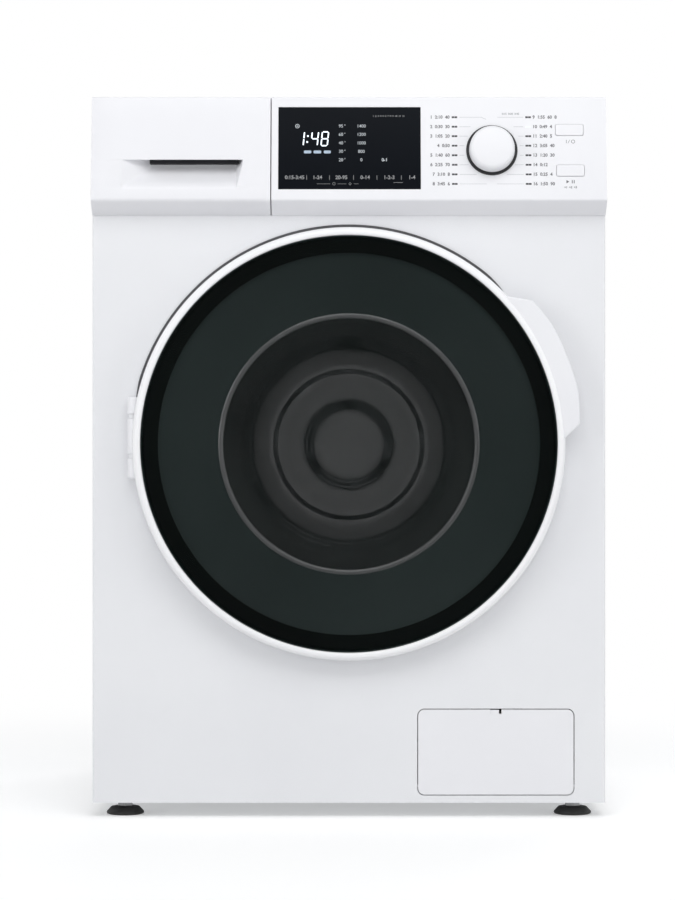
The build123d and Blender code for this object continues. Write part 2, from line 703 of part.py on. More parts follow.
# Fixed hoses: two from the valve to the dispenser, one from the pump to the drain connector
pump_outlet_y = -120.0
with BuildPart() as water_hoses:
    inlet_run = (housing_back + seam, back_inner - valve_depth - seam)
    for x in inlet_places:
        rod_y(x, inlet_z, stub_radius + seam + 2.5, inlet_run)
        rod_y(x, inlet_z, stub_radius + seam, inlet_run, mode=Mode.SUBTRACT)
    drain_run = (pump_outlet_y - 20, back_inner - 3 - seam)
    rod_y(drain_x, pump_z, hose_bore + hose_wall, drain_run)
    rod_y(drain_x, pump_z, hose_bore, drain_run, mode=Mode.SUBTRACT)
save(water_hoses.part, "water_hoses")

# Cord gland in the rear frame
with BuildPart() as cord_gland:
    rod_y(gland_x, gland_z, cord_bore + 8, (back, back + 3))
    rod_y(gland_x, gland_z, cord_bore + 3.4, (back_inner - 6, back + 11))
    rod_y(gland_x, gland_z, cord_bore, (back_inner - 6, back + 11), mode=Mode.SUBTRACT)
save(cord_gland.part, "cord_gland")

# Drain pump with its filter bore, inlet collar and outlet stub
pump_front = panel_inner + 13.0
filter_depth = 80.0
pump_back = -140.0
pump_motor_back = -85.0
collar_top = pump_z + pump_radius + 14.0
with BuildPart() as drain_pump:
    rod_y(pump_x, pump_z, pump_radius, (pump_front, pump_back))
    rod_y(pump_x, pump_z, pump_radius - 8, (pump_back, pump_motor_back))
    block((pump_x - 30, pump_x + 30), (pump_front + 20, pump_motor_back), (floor_top, pump_z - 20))
    rod_z(pump_x, sump_y, sump_radius, (pump_z + 20, collar_top))
    block((pump_x + 20, drain_x + 10), (pump_back - 26, pump_back), (pump_z - 11, pump_z + 11))
    rod_y(drain_x, pump_z, hose_bore - seam, (pump_back, pump_outlet_y + 4))
    filter_span = (pump_front, pump_front + filter_depth)
    rod_y(pump_x, pump_z, filter_radius + running_fit, filter_span, mode=Mode.SUBTRACT)
    rod_z(pump_x, sump_y, sump_radius - 4, (pump_z + pump_radius - 10, collar_top), mode=Mode.SUBTRACT)
    rod_y(drain_x, pump_z, hose_bore - 3, (pump_back - 15, pump_outlet_y + 4), mode=Mode.SUBTRACT)
save(drain_pump.part, "drain_pump")

# Drain filter: a cap with a grip bar and a basket that turns in the pump
cap_rim = 36.0
with BuildPart() as drain_filter:
    rod_y(pump_x, pump_z, cap_rim, (pump_front - seam, pump_front - 5))
    basket_end = pump_front + filter_depth - 2
    rod_y(pump_x, pump_z, filter_radius, (pump_front - seam, basket_end))
    rod_y(pump_x, pump_z, filter_radius - 4, (pump_front + 6, basket_end), mode=Mode.SUBTRACT)
    block((pump_x - 28, pump_x + 28), (pump_front - 9.5, pump_front - 5), (pump_z - 4, pump_z + 4))
    for turn in range(6):
        window = Location((pump_x, pump_front + 40, pump_z), (0, 30 + 60 * turn, 0))
        with Locations(window):
            with Locations((filter_radius - 2, 0, 0)):
                Box(12, 40, 14, mode=Mode.SUBTRACT)
save(drain_filter.part, "drain_filter")

# Hinge bracket: a plate behind the front panel, two ears through its slots, and the pin
with BuildPart() as hinge_bracket:
    plate_x = (hinge_x - 12, hinge_x + 30)
    block(plate_x, (panel_inner, panel_inner + 3), (hinge_low - 15, hinge_high + 15))
    for offset_z in ear_offsets:
        ear_z = (axle_z + offset_z - ear_thick / 2, axle_z + offset_z + ear_thick / 2)
        block((hinge_x - ear_half, hinge_x + ear_half), (hinge_y, panel_inner), ear_z)
        rod_z(hinge_x, hinge_y, ear_half + 2, ear_z)
    rod_z(hinge_x, hinge_y, hinge_pin_radius, (hinge_low + 4, hinge_high - 4))
save(hinge_bracket.part, "hinge_bracket")

# Hinge arm: knuckles round the pin and a leaf that runs under the door frame
leaf_depth = 6.0
with BuildPart() as hinge_arm:
    rod_z(hinge_x, hinge_y, knuckle_radius, (hinge_low, hinge_high))
    fillet(hinge_arm.edges().filter_by(GeomType.CIRCLE), radius=2.5)
    leaf_y = (door_back - leaf_depth, door_back)
    block((hinge_x + 4, hinge_x + 22), leaf_y, (hinge_low + 4, hinge_high - 4))
    for offset_z in ear_offsets:
        ear_z = (axle_z + offset_z - ear_thick / 2 - ear_gap, axle_z + offset_z + ear_thick / 2 + ear_gap)
        block((hinge_x - 12, hinge_x + 12), (hinge_y - 12, door_back + 1), ear_z, Mode.SUBTRACT)
    rod_z(hinge_x, hinge_y, hinge_pin_radius + running_fit, (hinge_low + 4 - seam, hinge_high - 4 + seam),
          mode=Mode.SUBTRACT)
save(hinge_arm.part, "hinge_arm")

# Door ring: the white rim, with a raised pull at the upper right
pull_start = 2.0
pull_end = 42.0
pull_radius = ring_radius + 21.0
pull_front = front - 27.5
pull_thick = 9.0
ring_front = front - 29.0
pull_points = [(ring_radius - 6, pull_start - 1.5), (pull_radius - 4, pull_start + 3.0)]
pull_middle = (pull_start + pull_end) / 2
pull_points += [(pull_radius, pull_middle - 7), (pull_radius, pull_middle + 7)]
pull_points += [(pull_radius - 3, pull_end - 4.0), (ring_radius - 6, pull_end + 2.5)]


def polar(radius, angle):
    return (radius * cos(radians(angle)), axle_z + radius * sin(radians(angle)))


with BuildPart() as door_ring:
    with BuildSketch(axle_plane):
        rim = [(glass_radius + seam, door_back), (ring_radius, door_back), (ring_radius, ring_front + 8)]
        rim += [(ring_radius - 1.2, ring_front + 3.4), (ring_radius - 4, ring_front + 0.6)]
        rim += [(ring_radius - 7, ring_front), (glass_radius + seam, ring_front + 0.8)]
        Polygon(*rim, align=None)
    revolve(axis=axle, revolution_arc=360)
    with BuildSketch(upright(pull_front + pull_thick)):
        with BuildLine():
            spots = [polar(radius, angle) for radius, angle in pull_points]
            Line(spots[0], spots[1])
            Spline(*spots[1:5])
            Line(spots[4], spots[5])
            ThreePointArc(spots[5], polar(ring_radius - 6, pull_middle), spots[0])
        make_face()
    extrude(amount=pull_thick)
    block((hinge_x - 14, hinge_x + knuckle_radius + seam), (ring_front - 5, door_back + 1),
          (hinge_low - seam, hinge_high + seam), Mode.SUBTRACT)
    block((hinge_x, hinge_x + 22 + seam), (door_back - leaf_depth - seam, door_back + 1),
          (hinge_low + 4 - seam, hinge_high - 4 + seam), Mode.SUBTRACT)
save(door_ring.part, "door_ring")

# Dark outer window of the door, a shallow cap of a sphere
dome_radius = (glass_radius ** 2 + glass_rim_drop ** 2) / (2 * glass_rim_drop)
dome_half_angle = asin(glass_radius / dome_radius) / 2
with BuildPart() as door_window:
    with BuildSketch(axle_plane):
        with BuildLine():
            middle_r = dome_radius * sin(dome_half_angle)
            middle_y = glass_front + dome_radius * (1 - cos(dome_half_angle))
            ThreePointArc((0, glass_front), (middle_r, middle_y), (glass_radius, glass_rim))
            Line((glass_radius, glass_rim), (glass_radius, glass_rim + glass_thick))
            ThreePointArc((glass_radius, glass_rim + glass_thick), (middle_r, middle_y + glass_thick),
                          (0, glass_front + glass_thick))
            Line((0, glass_front + glass_thick), (0, glass_front))
        make_face()
    revolve(axis=axle, revolution_arc=360)
save(door_window.part, "door_window")

# Door frame: the moulding between the outer window and the bowl, flaring out to the front
frame_mouth = glass_radius - 14.0
frame_throat = 158.0
frame_front_y = glass_rim + glass_thick
bowl_step = 4.0
with BuildPart() as door_frame:
    with BuildSketch(axle_plane):
        flare = [(glass_radius, frame_front_y), (frame_mouth, frame_front_y)]
        flare += [(frame_throat - 10, door_back - bowl_step - 2), (frame_throat - 10, door_back - bowl_step)]
        flare += [(frame_throat, door_back - bowl_step), (frame_throat, door_back), (glass_radius, door_back)]
        Polygon(*flare, align=None)
    revolve(axis=axle, revolution_arc=360)
    block((hinge_x, hinge_x + 22 + seam), (door_back - leaf_depth, door_back + 1),
          (hinge_low + 4 - seam, hinge_high - 4 + seam), Mode.SUBTRACT)
save(door_frame.part, "door_frame")

# Glass bowl that reaches into the drum's mouth
bowl_rim = frame_throat - seam
bowl_neck = 149.6
bowl_neck_y = front + 8.0
bowl_end_radius = 116.0
bowl_end_y = drum_front + 4.0
bowl_floor_y = bowl_end_y + 6.0
bowl_thick = 5.0
with BuildPart() as door_bowl:
    with BuildSketch(axle_plane):
        outer_side = [(bowl_rim, door_back - bowl_step), (bowl_rim, door_back), (bowl_neck, bowl_neck_y)]
        outer_side += [(bowl_end_radius, bowl_end_y), (bowl_end_radius * 0.6, bowl_floor_y)]
        outer_side += [(0, bowl_floor_y + 1)]
        inner_side = [(0, bowl_floor_y - bowl_thick + 1), (bowl_end_radius * 0.6, bowl_floor_y - bowl_thick)]
        inner_side += [(bowl_end_radius - bowl_thick, bowl_end_y - bowl_thick + 1)]
        inner_side += [(bowl_neck - bowl_thick - 1, bowl_neck_y)]
        inner_side += [(bowl_neck - bowl_thick, door_back - bowl_step)]
        Polygon(*outer_side, *inner_side, align=None)
    revolve(axis=axle, revolution_arc=360)
    rounded = [(bowl_end_radius, 14.0), (bowl_end_radius - bowl_thick, 10.0)]
    for radius, turn in rounded:
        rings = door_bowl.edges().filter_by(GeomType.CIRCLE)
        fillet(rings.filter_by(lambda ring: abs(ring.radius - radius) < 0.01), radius=turn)
save(door_bowl.part, "door_bowl")

# Hook of the door and the lock that it enters
hook_reach = 20.0
with BuildPart() as door_hook:
    block((lock_x - hook_half, lock_x + hook_half), (door_back, front + hook_reach),
          (axle_z - 4, axle_z + 4))
    block((lock_x - hook_half, lock_x + hook_half), (front + hook_reach - 6, front + hook_reach),
          (axle_z - hook_height / 2, axle_z + hook_height / 2))
save(door_hook.part, "door_hook")

lock_back = panel_inner + 36.0
with BuildPart() as door_lock:
    block((lock_x - 16, lock_x + 34), (panel_inner, lock_back), (axle_z - 34, axle_z + 34))
    block((lock_x - hook_slot_half, lock_x + hook_slot_half), (panel_inner, front + hook_reach + 6),
          (axle_z - hook_height, axle_z + hook_height), Mode.SUBTRACT)
    block((lock_x - 16, lock_x + 34), (lock_back, lock_back + 3), (axle_z + 5, axle_z + 25))
save(door_lock.part, "door_lock")

# Door gasket: a lipped bead on the panel's edge, a sealing lip and a bellows back to the tub
bellows = [(166.0, 4.2), (176.0, 13.0), (164.0, 23.0), (176.0, 33.0), (164.0, 43.0), (174.0, 50.0)]
bellows_thick = 2.5
with BuildPart() as door_gasket:
    with BuildSketch(axle_plane):
        neck = opening_radius - 6.0
        band(neck, opening_radius + 3.5, front - 1.2, front)
        band(neck, opening_radius - 0.2, front, panel_inner)
        band(neck, opening_radius + 4, panel_inner, panel_inner + 3)
        lip_tip = bowl_neck + 1.4
        lip = [(neck, front), (neck, panel_inner + 3), (lip_tip, bowl_neck_y + 2.5), (lip_tip, bowl_neck_y)]
        Polygon(*lip, align=None)
        fold_y = [panel_inner + 3 - 4.2 + step for radius, step in bellows]
        cuff_y = (tub_front_y - collar_length + 2, tub_front_y)
        points = [(radius, y) for (radius, step), y in zip(bellows, fold_y)]
        points.append((collar_radius, cuff_y[0]))
        thick_side = [(radius + bellows_thick, y) for radius, y in reversed(points)]
        Polygon(*points, *thick_side, align=None)
        band(collar_radius, collar_radius + bellows_thick, *cuff_y)
    revolve(axis=axle, revolution_arc=360)
save(door_gasket.part, "door_gasket")

# Counterweights: two blocks in front of the tub, above and below its mouth
weight_inner = collar_radius + 8.0
weight_outer = tub_radius - 4.0
weight_front = tub_front_y - 36.0
weight_half_angle = 62.0


with BuildPart() as counterweights:
    with BuildSketch(upright(tub_front_y - seam)):
        for middle in (90, 270):
            angles = (middle - weight_half_angle, middle, middle + weight_half_angle)
            outer_spots = [polar(weight_outer, angle) for angle in angles]
            inner_spots = [polar(weight_inner, angle) for angle in reversed(angles)]
            with BuildLine():
                ThreePointArc(*outer_spots)
                Line(outer_spots[2], inner_spots[0])
                ThreePointArc(*inner_spots)
                Line(inner_spots[2], outer_spots[0])
            make_face()
    extrude(amount=tub_front_y - seam - weight_front)
    for middle in (90, 270):
        for offset in (-45, 45):
            x, z = polar((weight_inner + weight_outer) / 2, middle + offset)
            rod_y(x, z, 5.3, (weight_front, tub_front_y), mode=Mode.SUBTRACT)
save(counterweights.part, "counterweights")

# Front half of the tub: wall, collar, damper lugs, sump stub, detergent inlet and weight bosses
tub_inner = tub_radius - tub_wall
split_flange = 0.23324 * (side_inner - tub_radius)
flange_thick = 5.0
sump_stub_low = axle_z - tub_radius + 19.0
inlet_stub = 21.64
inlet_top = axle_z + sqrt(tub_radius ** 2 - (outlet_radius + 3.3 + hose_x) ** 2) + inlet_stub
stub_root = tub_radius - 142.0
with BuildPart() as tub_front:
    rod_y(0, axle_z, tub_radius, (tub_front_y, tub_split_y))
    rod_y(0, axle_z, tub_radius + split_flange, (tub_split_y - flange_thick, tub_split_y))
    rod_y(0, axle_z, collar_radius, (tub_front_y - collar_length, tub_front_y))
    for x in (-damper_x, damper_x):
        block((x - 12, x + 12), (damper_y - 12, damper_y + 12), (damper_rod_top, axle_z - stub_root))
    rod_z(pump_x, sump_y, sump_radius, (sump_stub_low, axle_z - stub_root))
    rod_z(hose_x, hose_y, outlet_radius, (axle_z + stub_root, inlet_top))
    for middle in (90, 270):
        for offset in (-45, 45):
            x, z = polar((weight_inner + weight_outer) / 2, middle + offset)
            rod_y(x, z, 5.0, (weight_front + 4, tub_front_y))
    rod_y(0, axle_z, tub_inner, (tub_front_y + tub_wall, tub_split_y), mode=Mode.SUBTRACT)
    mouth_span = (tub_front_y - collar_length, tub_split_y)
    rod_y(0, axle_z, collar_radius - collar_wall, mouth_span, mode=Mode.SUBTRACT)
    rod_z(pump_x, sump_y, sump_radius - 4, (sump_stub_low, axle_z - stub_root), mode=Mode.SUBTRACT)
    rod_z(hose_x, hose_y, outlet_radius - 2.5, (axle_z + stub_root, inlet_top), mode=Mode.SUBTRACT)
save(tub_front.part, "tub_front")

# Rear half of the tub: wall, back plate with ribs, bearing hub, spring lugs and motor mounts
rib_count = 12
heater_spread = 34.0
heater_radius = 4.0
heater_ring = drum_radius + 7.5
heater_z = axle_z - sqrt(heater_ring ** 2 - heater_spread ** 2)
motor_span = (60.0, pulley_y - 15.0)
motor_lug_y = ((70.0, 84.0), (178.0, 192.0))
with BuildPart() as tub_rear:
    rod_y(0, axle_z, tub_radius, (tub_split_y, tub_back_y))
    rod_y(0, axle_z, tub_radius + split_flange, (tub_split_y, tub_split_y + flange_thick))
    rod_y(0, axle_z, hub_radius, (tub_back_y - tub_plate, hub_back_y))
    for turn in range(rib_count):
        with Locations(Location((0, 0, axle_z), (0, 360 / rib_count * turn, 0))):
            with Locations((tub_radius / 2 + 20, tub_back_y + 9, 0)):
                Box(tub_radius - 60, 18, 4)
    for hand in (-1, 1):
        lug_x = (hand * 150, hand * (spring_x + 12))
        block(lug_x, (spring_y - 12, spring_y + 12), (spring_low - lug_thick, spring_low))
    for lug_y in motor_lug_y:
        block((motor_x - 20, motor_x + 20), lug_y, (motor_z + motor_radius, axle_z - tub_radius + 62))
    rod_y(0, axle_z, tub_inner, (tub_split_y, tub_back_y - tub_plate), mode=Mode.SUBTRACT)
    rod_y(0, axle_z, bearing_radius, (tub_back_y - tub_plate, hub_back_y), mode=Mode.SUBTRACT)
    plug_x = (-heater_spread - 8, heater_spread + 8)
    block(plug_x, (tub_back_y - tub_plate - 1, tub_back_y), (heater_z - 8, heater_z + 8), Mode.SUBTRACT)
save(tub_rear.part, "tub_rear")

# Bearings and shaft seal in the hub
with BuildPart() as tub_bearings:
    with BuildSketch(axle_plane):
        seal_y = (tub_back_y - tub_plate, tub_back_y - tub_plate + 6)
        band(shaft_radius + running_fit, bearing_radius - pin_fit, *seal_y)
        for bearing_y in (seal_y[1] + 2, hub_back_y - bearing_width):
            band(shaft_radius + running_fit, bearing_radius - pin_fit, bearing_y, bearing_y + bearing_width)
    revolve(axis=axle, revolution_arc=360)
save(tub_bearings.part, "tub_bearings")

# Water heater: a bent rod along the bottom of the tub, on a plug in its back plate
heater_front = -150.0
with BuildPart() as wash_heater:
    for x in (-heater_spread, heater_spread):
        rod_y(x, heater_z, heater_radius, (heater_front, tub_back_y - tub_plate))
        rod_y(x, heater_z, 2.5, (tub_back_y, tub_back_y + 16))
    rod_x(heater_front, heater_z, heater_radius, (-heater_spread, heater_spread))
    for x in (-heater_spread, heater_spread):
        with Locations((x, heater_front, heater_z)):
            Sphere(heater_radius)
    plug_inner_x = (plug_x[0] + 0.1, plug_x[1] - 0.1)
    block(plug_inner_x, (tub_back_y - tub_plate, tub_back_y), (heater_z - 7.9, heater_z + 7.9))
save(wash_heater.part, "wash_heater")

# Drum shell: the rolled and perforated wall, between its front and back plates
lip_roll = 12.0
with BuildPart() as drum_shell:
    with BuildSketch(axle_plane):
        band(drum_radius - drum_sheet, drum_radius, drum_front + drum_sheet, drum_back - drum_sheet)
    revolve(axis=axle, revolution_arc=360)
save(drum_shell.part, "drum_shell")

# Front plate of the drum, with a rolled lip round its mouth
with BuildPart() as drum_front_plate:
    with BuildSketch(axle_plane):
        band(mouth_radius, drum_radius, drum_front, drum_front + drum_sheet)
        band(mouth_radius, mouth_radius + drum_sheet, drum_front, drum_front + lip_roll)
    revolve(axis=axle, revolution_arc=360)
save(drum_front_plate.part, "drum_front_plate")

# Back plate of the drum
with BuildPart() as drum_back_plate:
    rod_y(0, axle_z, drum_radius, (drum_back - drum_sheet, drum_back))
save(drum_back_plate.part, "drum_back_plate")

# Three lifters inside the drum
lifter_inner = drum_radius - 48.0
lifter_y = (-165.0, 145.0)
lifter_base = 34.0
lifter_tip = 14.0
lifter_wall = 3.0
with BuildPart() as drum_lifters:
    for wall, mode in ((0, Mode.ADD), (lifter_wall, Mode.SUBTRACT)):
        with BuildSketch(upright(lifter_y[1] - wall)):
            for turn in (90, 210, 330):
                seat = sqrt((drum_radius - drum_sheet) ** 2 - lifter_base ** 2) - wall
                foot = lifter_base - 1.3 * wall
                tip = lifter_tip - 1.3 * wall
                with Locations(Location((0, axle_z), turn)):
                    crown = lifter_inner + wall
                    Polygon((seat, -foot), (crown, -tip), (crown, tip), (seat, foot), align=None)
        extrude(amount=lifter_y[1] - lifter_y[0] - 2 * wall, mode=mode)
    long_edges = drum_lifters.edges().filter_by(Axis.Y)
    fillet(long_edges.filter_by(lambda edge: edge.length > lifter_y[1] - lifter_y[0] - 0.01), radius=3.0)
save(drum_lifters.part, "drum_lifters")

# Spider on the back of the drum, cast round its shaft, with the bolt that holds the pulley
spider_thick = 14.0
spider_hub = 40.0
spider_arm = 36.0
pulley_end = pulley_y + pulley_width
belt_middle = pulley_y + pulley_width / 2
with BuildPart() as drum_spider:
    with BuildSketch(upright(drum_back + spider_thick)):
        with Locations((0, axle_z)):
            Circle(spider_hub)
        for turn in (30, 150, 270):
            with Locations(Location((0, axle_z), turn)):
                arm = [(0, -spider_arm / 2), (drum_radius - 8, -spider_arm / 3)]
                Polygon(*arm, (drum_radius - 8, spider_arm / 3), (0, spider_arm / 2), align=None)
    extrude(amount=spider_thick)
    rod_y(0, axle_z, shaft_radius, (drum_back, pulley_end))
    with BuildSketch(upright(pulley_end + 7)):
        with Locations((0, axle_z)):
            RegularPolygon(11, 6)
    extrude(amount=7)
save(drum_spider.part, "drum_spider")

# Drum pulley: rim, hub and a web with six round openings
pulley_rim = 9.0
pulley_web = 6.0
web_holes = 6
with BuildPart() as drum_pulley:
    with BuildSketch(axle_plane):
        band(shaft_radius, pulley_radius, belt_middle - pulley_web / 2, belt_middle + pulley_web / 2)
        band(pulley_radius - pulley_rim, pulley_radius, pulley_y, pulley_end)
        band(shaft_radius, 32, pulley_y, pulley_end)
        for flange_y in (pulley_y, pulley_end - 1.5):
            band(pulley_radius, pulley_radius + 2, flange_y, flange_y + 1.5)
    revolve(axis=axle, revolution_arc=360)
    for turn in range(web_holes):
        x, z = polar((pulley_radius - pulley_rim + 32) / 2, 360 / web_holes * turn)
        rod_y(x, z, 28.0, (pulley_y, pulley_end), mode=Mode.SUBTRACT)
save(drum_pulley.part, "drum_pulley")

# Belt round the two pulleys
with BuildPart() as drive_belt:
    with BuildSketch(upright(belt_middle + belt_width / 2)):
        for grow, mode in ((seam + belt_thick, Mode.ADD), (seam, Mode.SUBTRACT)):
            span_x = motor_x
            span_z = motor_z - axle_z
            reach = hypot(span_x, span_z)
            big = pulley_radius + grow
            small = motor_pulley_radius + grow
            toward = atan2(span_z, span_x)
            tangent = atan2(sqrt(reach ** 2 - (big - small) ** 2), big - small)
            ends = []
            for hand in (-1, 1):
                angle = toward + hand * tangent
                ends.append((big * cos(angle), axle_z + big * sin(angle)))
                ends.append((motor_x + small * cos(angle), motor_z + small * sin(angle)))
            far_big = (-big * cos(toward), axle_z - big * sin(toward))
            far_small = (motor_x + small * cos(toward), motor_z + small * sin(toward))
            with BuildLine():
                Line(ends[0], ends[1])
                ThreePointArc(ends[1], far_small, ends[3])
                Line(ends[3], ends[2])
                ThreePointArc(ends[2], far_big, ends[0])
            make_face(mode=mode)
    extrude(amount=belt_width)
save(drive_belt.part, "drive_belt")

# Drive motor under the tub, and its pulley
motor_shaft_radius = 7.0
with BuildPart() as drive_motor:
    rod_y(motor_x, motor_z, motor_radius, motor_span)
    fillet(drive_motor.edges().filter_by(GeomType.CIRCLE), radius=6)
    rod_y(motor_x, motor_z, 22.0, (motor_span[1], motor_span[1] + 6))
    rod_y(motor_x, motor_z, motor_shaft_radius + running_fit, (motor_span[1] - 30, motor_span[1] + 6),
          mode=Mode.SUBTRACT)
    for turn in range(16):
        with Locations(Location((motor_x, sum(motor_span) / 2, motor_z), (0, 360 / 16 * turn, 0))):
            with Locations((motor_radius, 0, 0)):
                Box(5, 90, 8, mode=Mode.SUBTRACT)
save(drive_motor.part, "drive_motor")

with BuildPart() as motor_pulley:
    rod_y(motor_x, motor_z, motor_shaft_radius, (motor_span[1] - 29, pulley_y - 2))
    rod_y(motor_x, motor_z, motor_pulley_radius, (pulley_y - 2, pulley_end + 2))
    for flange_y in (pulley_y - 2, pulley_end):
        rod_y(motor_x, motor_z, motor_pulley_radius + 2, (flange_y, flange_y + 1.5))
save(motor_pulley.part, "motor_pulley")

# Drying duct on top of the tub: heater channel, fan scroll and fan motor
duct_y = (-190.0, 60.0)
duct_wall = 2.5
duct_top = axle_z + tub_radius + 91.0
duct_lid = 8.0
channel_half = 60.0
channel_left = -60.0
entry_width = 90.0
fan_x = 140.0
fan_y = 110.0
scroll_radius = 74.0
fan_radius = 58.0
fan_low = axle_z + tub_radius + 29.0
fan_high = fan_low + 38.0
fan_shaft_radius = 4.0
with BuildPart() as dryer_duct:
    channel_x = (fan_x - channel_half, fan_x + channel_half)
    entry_x = (channel_left, channel_x[1])
    entry_y = (duct_y[0], duct_y[0] + entry_width)
    lid_z = duct_top - duct_lid
    deep_z = axle_z + drum_radius * 0.8
    block(channel_x, duct_y, (deep_z, lid_z))
    block(entry_x, entry_y, (deep_z, lid_z))
    rod_z(fan_x, fan_y, scroll_radius, (deep_z, lid_z))
    floor_z = fan_low - 6
    under_x = (channel_x[0] + duct_wall, channel_x[1] - duct_wall)
    under_z = (deep_z, floor_z - duct_wall)
    block(under_x, (entry_y[1], duct_y[1]), under_z, Mode.SUBTRACT)
    block((entry_x[0] + duct_wall, under_x[1]), (entry_y[0] + duct_wall, entry_y[1]), under_z, Mode.SUBTRACT)
    rod_z(fan_x, fan_y, scroll_radius - duct_wall, under_z, mode=Mode.SUBTRACT)
    rod_y(0, axle_z, tub_radius + pin_fit, (tub_front_y, tub_back_y), mode=Mode.SUBTRACT)
    flange_y = (tub_split_y - flange_thick - 1, tub_split_y + flange_thick + 1)
    rod_y(0, axle_z, tub_radius + split_flange + seam, flange_y, mode=Mode.SUBTRACT)
    air_z = (floor_z, lid_z - duct_wall)
    block(under_x, (duct_y[0] + duct_wall, duct_y[1]), air_z, Mode.SUBTRACT)
    rod_z(fan_x, fan_y, scroll_radius - duct_wall, air_z, mode=Mode.SUBTRACT)
    rod_z(fan_x, fan_y, 24.0, (lid_z, duct_top + 2))
    shaft_span = (lid_z - duct_wall, duct_top - 2)
    rod_z(fan_x, fan_y, fan_shaft_radius + running_fit, shaft_span, mode=Mode.SUBTRACT)
save(dryer_duct.part, "dryer_duct")

# Fan wheel of the drying duct
blade_count = 24
with BuildPart() as blower_wheel:
    rod_z(fan_x, fan_y, fan_radius, (fan_low, fan_low + 2))
    rod_z(fan_x, fan_y, 12.0, (fan_low, fan_high - 4))
    rod_z(fan_x, fan_y, fan_shaft_radius, (fan_high - 4, duct_top - 4))
    for turn in range(blade_count):
        with Locations(Location((fan_x, fan_y, (fan_low + fan_high) / 2), (0, 0, 360 / blade_count * turn))):
            with Locations(Location((fan_radius - 9, 0, 0), (0, 0, 35))):
                Box(14, 1.2, fan_high - fan_low)
save(blower_wheel.part, "blower_wheel")

# Two vertical dampers: cylinders in the tray's sockets, rods from the tub's lugs
with BuildPart() as damper_cylinders:
    for x in (-damper_x, damper_x):
        rod_z(x, damper_y, damper_radius, (floor_top, damper_top))
        rod_z(x, damper_y, damper_bore, (floor_top + 6, damper_top), mode=Mode.SUBTRACT)
save(damper_cylinders.part, "damper_cylinders")

with BuildPart() as damper_rods:
    for x in (-damper_x, damper_x):
        rod_z(x, damper_y, damper_rod_radius, (piston_span[0], damper_rod_top))
        rod_z(x, damper_y, damper_bore - running_fit, piston_span)
save(damper_rods.part, "damper_rods")

# Two suspension springs between the side panels and the tub, each as the space it fills
with BuildPart() as suspension_springs:
    for x in (-spring_x, spring_x):
        rod_z(x, spring_y, spring_radius, (spring_low + seam, spring_high - seam))
        rod_z(x, spring_y, spring_bore, (spring_low + seam, spring_high - seam), mode=Mode.SUBTRACT)
save(suspension_springs.part, "suspension_springs")

# Bellows hoses that follow the tub: detergent inlet above, sump outlet below
with BuildPart() as dispenser_hose:
    hose_span = (inlet_top - 16, outlet_low + 12)
    rod_z(hose_x, hose_y, outlet_radius + seam + 3, hose_span)
    rod_z(hose_x, hose_y, outlet_radius + seam, hose_span, mode=Mode.SUBTRACT)
save(dispenser_hose.part, "dispenser_hose")

with BuildPart() as sump_hose:
    hose_span = (collar_top - 10, sump_stub_low + 14)
    rod_z(pump_x, sump_y, sump_radius + seam + 3, hose_span)
    rod_z(pump_x, sump_y, sump_radius + seam, hose_span, mode=Mode.SUBTRACT)
save(sump_hose.part, "sump_hose")
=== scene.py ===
import bpy
import bmesh
from math import atan2, cos, pi, radians, sin, sqrt
from mathutils import Matrix, Vector


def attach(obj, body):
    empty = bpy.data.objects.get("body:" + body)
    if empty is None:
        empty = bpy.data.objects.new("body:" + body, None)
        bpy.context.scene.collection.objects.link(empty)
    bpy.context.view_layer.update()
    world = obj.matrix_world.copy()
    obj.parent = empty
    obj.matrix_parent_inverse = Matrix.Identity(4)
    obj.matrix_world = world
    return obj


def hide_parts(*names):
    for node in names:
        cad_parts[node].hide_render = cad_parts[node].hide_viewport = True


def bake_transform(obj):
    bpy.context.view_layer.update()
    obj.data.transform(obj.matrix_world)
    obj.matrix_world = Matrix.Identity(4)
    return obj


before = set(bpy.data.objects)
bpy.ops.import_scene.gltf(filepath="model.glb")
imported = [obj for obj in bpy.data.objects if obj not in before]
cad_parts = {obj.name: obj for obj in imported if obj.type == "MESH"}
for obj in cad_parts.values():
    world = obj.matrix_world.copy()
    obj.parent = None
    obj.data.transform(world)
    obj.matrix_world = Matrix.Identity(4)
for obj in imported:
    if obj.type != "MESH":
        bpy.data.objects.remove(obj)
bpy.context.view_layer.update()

print("frame loaded", len(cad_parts), "nodes")


# Node helpers: a socket among a node's inputs is wired in, and anything else is set as its value

def setInputs(owner, node, inputs):
    for key, value in inputs.items():
        if isinstance(value, bpy.types.NodeSocket):
            owner.node_tree.links.new(value, node.inputs[key])
        else:
            node.inputs[key].default_value = value


def addNode(owner, kind, inputs=None, **settings):
    node = owner.node_tree.nodes.new("ShaderNode" + kind)
    for key, value in settings.items():
        setattr(node, key, value)
    setInputs(owner, node, inputs or {})
    return node


def newMaterial(name):
    mat = bpy.data.materials.new(name)
    mat.use_nodes = True
    mat.node_tree.nodes.clear()
    shader = addNode(mat, "BsdfPrincipled")
    addNode(mat, "OutputMaterial", {"Surface": shader.outputs["BSDF"]})
    return mat, shader


def objectCoords(mat, scale=(1, 1, 1)):
    coords = addNode(mat, "TexCoord").outputs["Object"]
    return addNode(mat, "Mapping", {"Vector": coords, "Scale": scale}).outputs["Vector"]


def noise(mat, coords, scale, detail):
    return addNode(mat, "TexNoise", {"Vector": coords, "Scale": scale, "Detail": detail}).outputs["Fac"]


def ramp(mat, source, dark, light, start=0.3, end=0.7):
    node = addNode(mat, "ValToRGB", {"Fac": source})
    for element, place, colour in zip(node.color_ramp.elements, (start, end), (dark, light)):
        element.position = place
        element.color = (*colour, 1)
    return node.outputs["Color"]


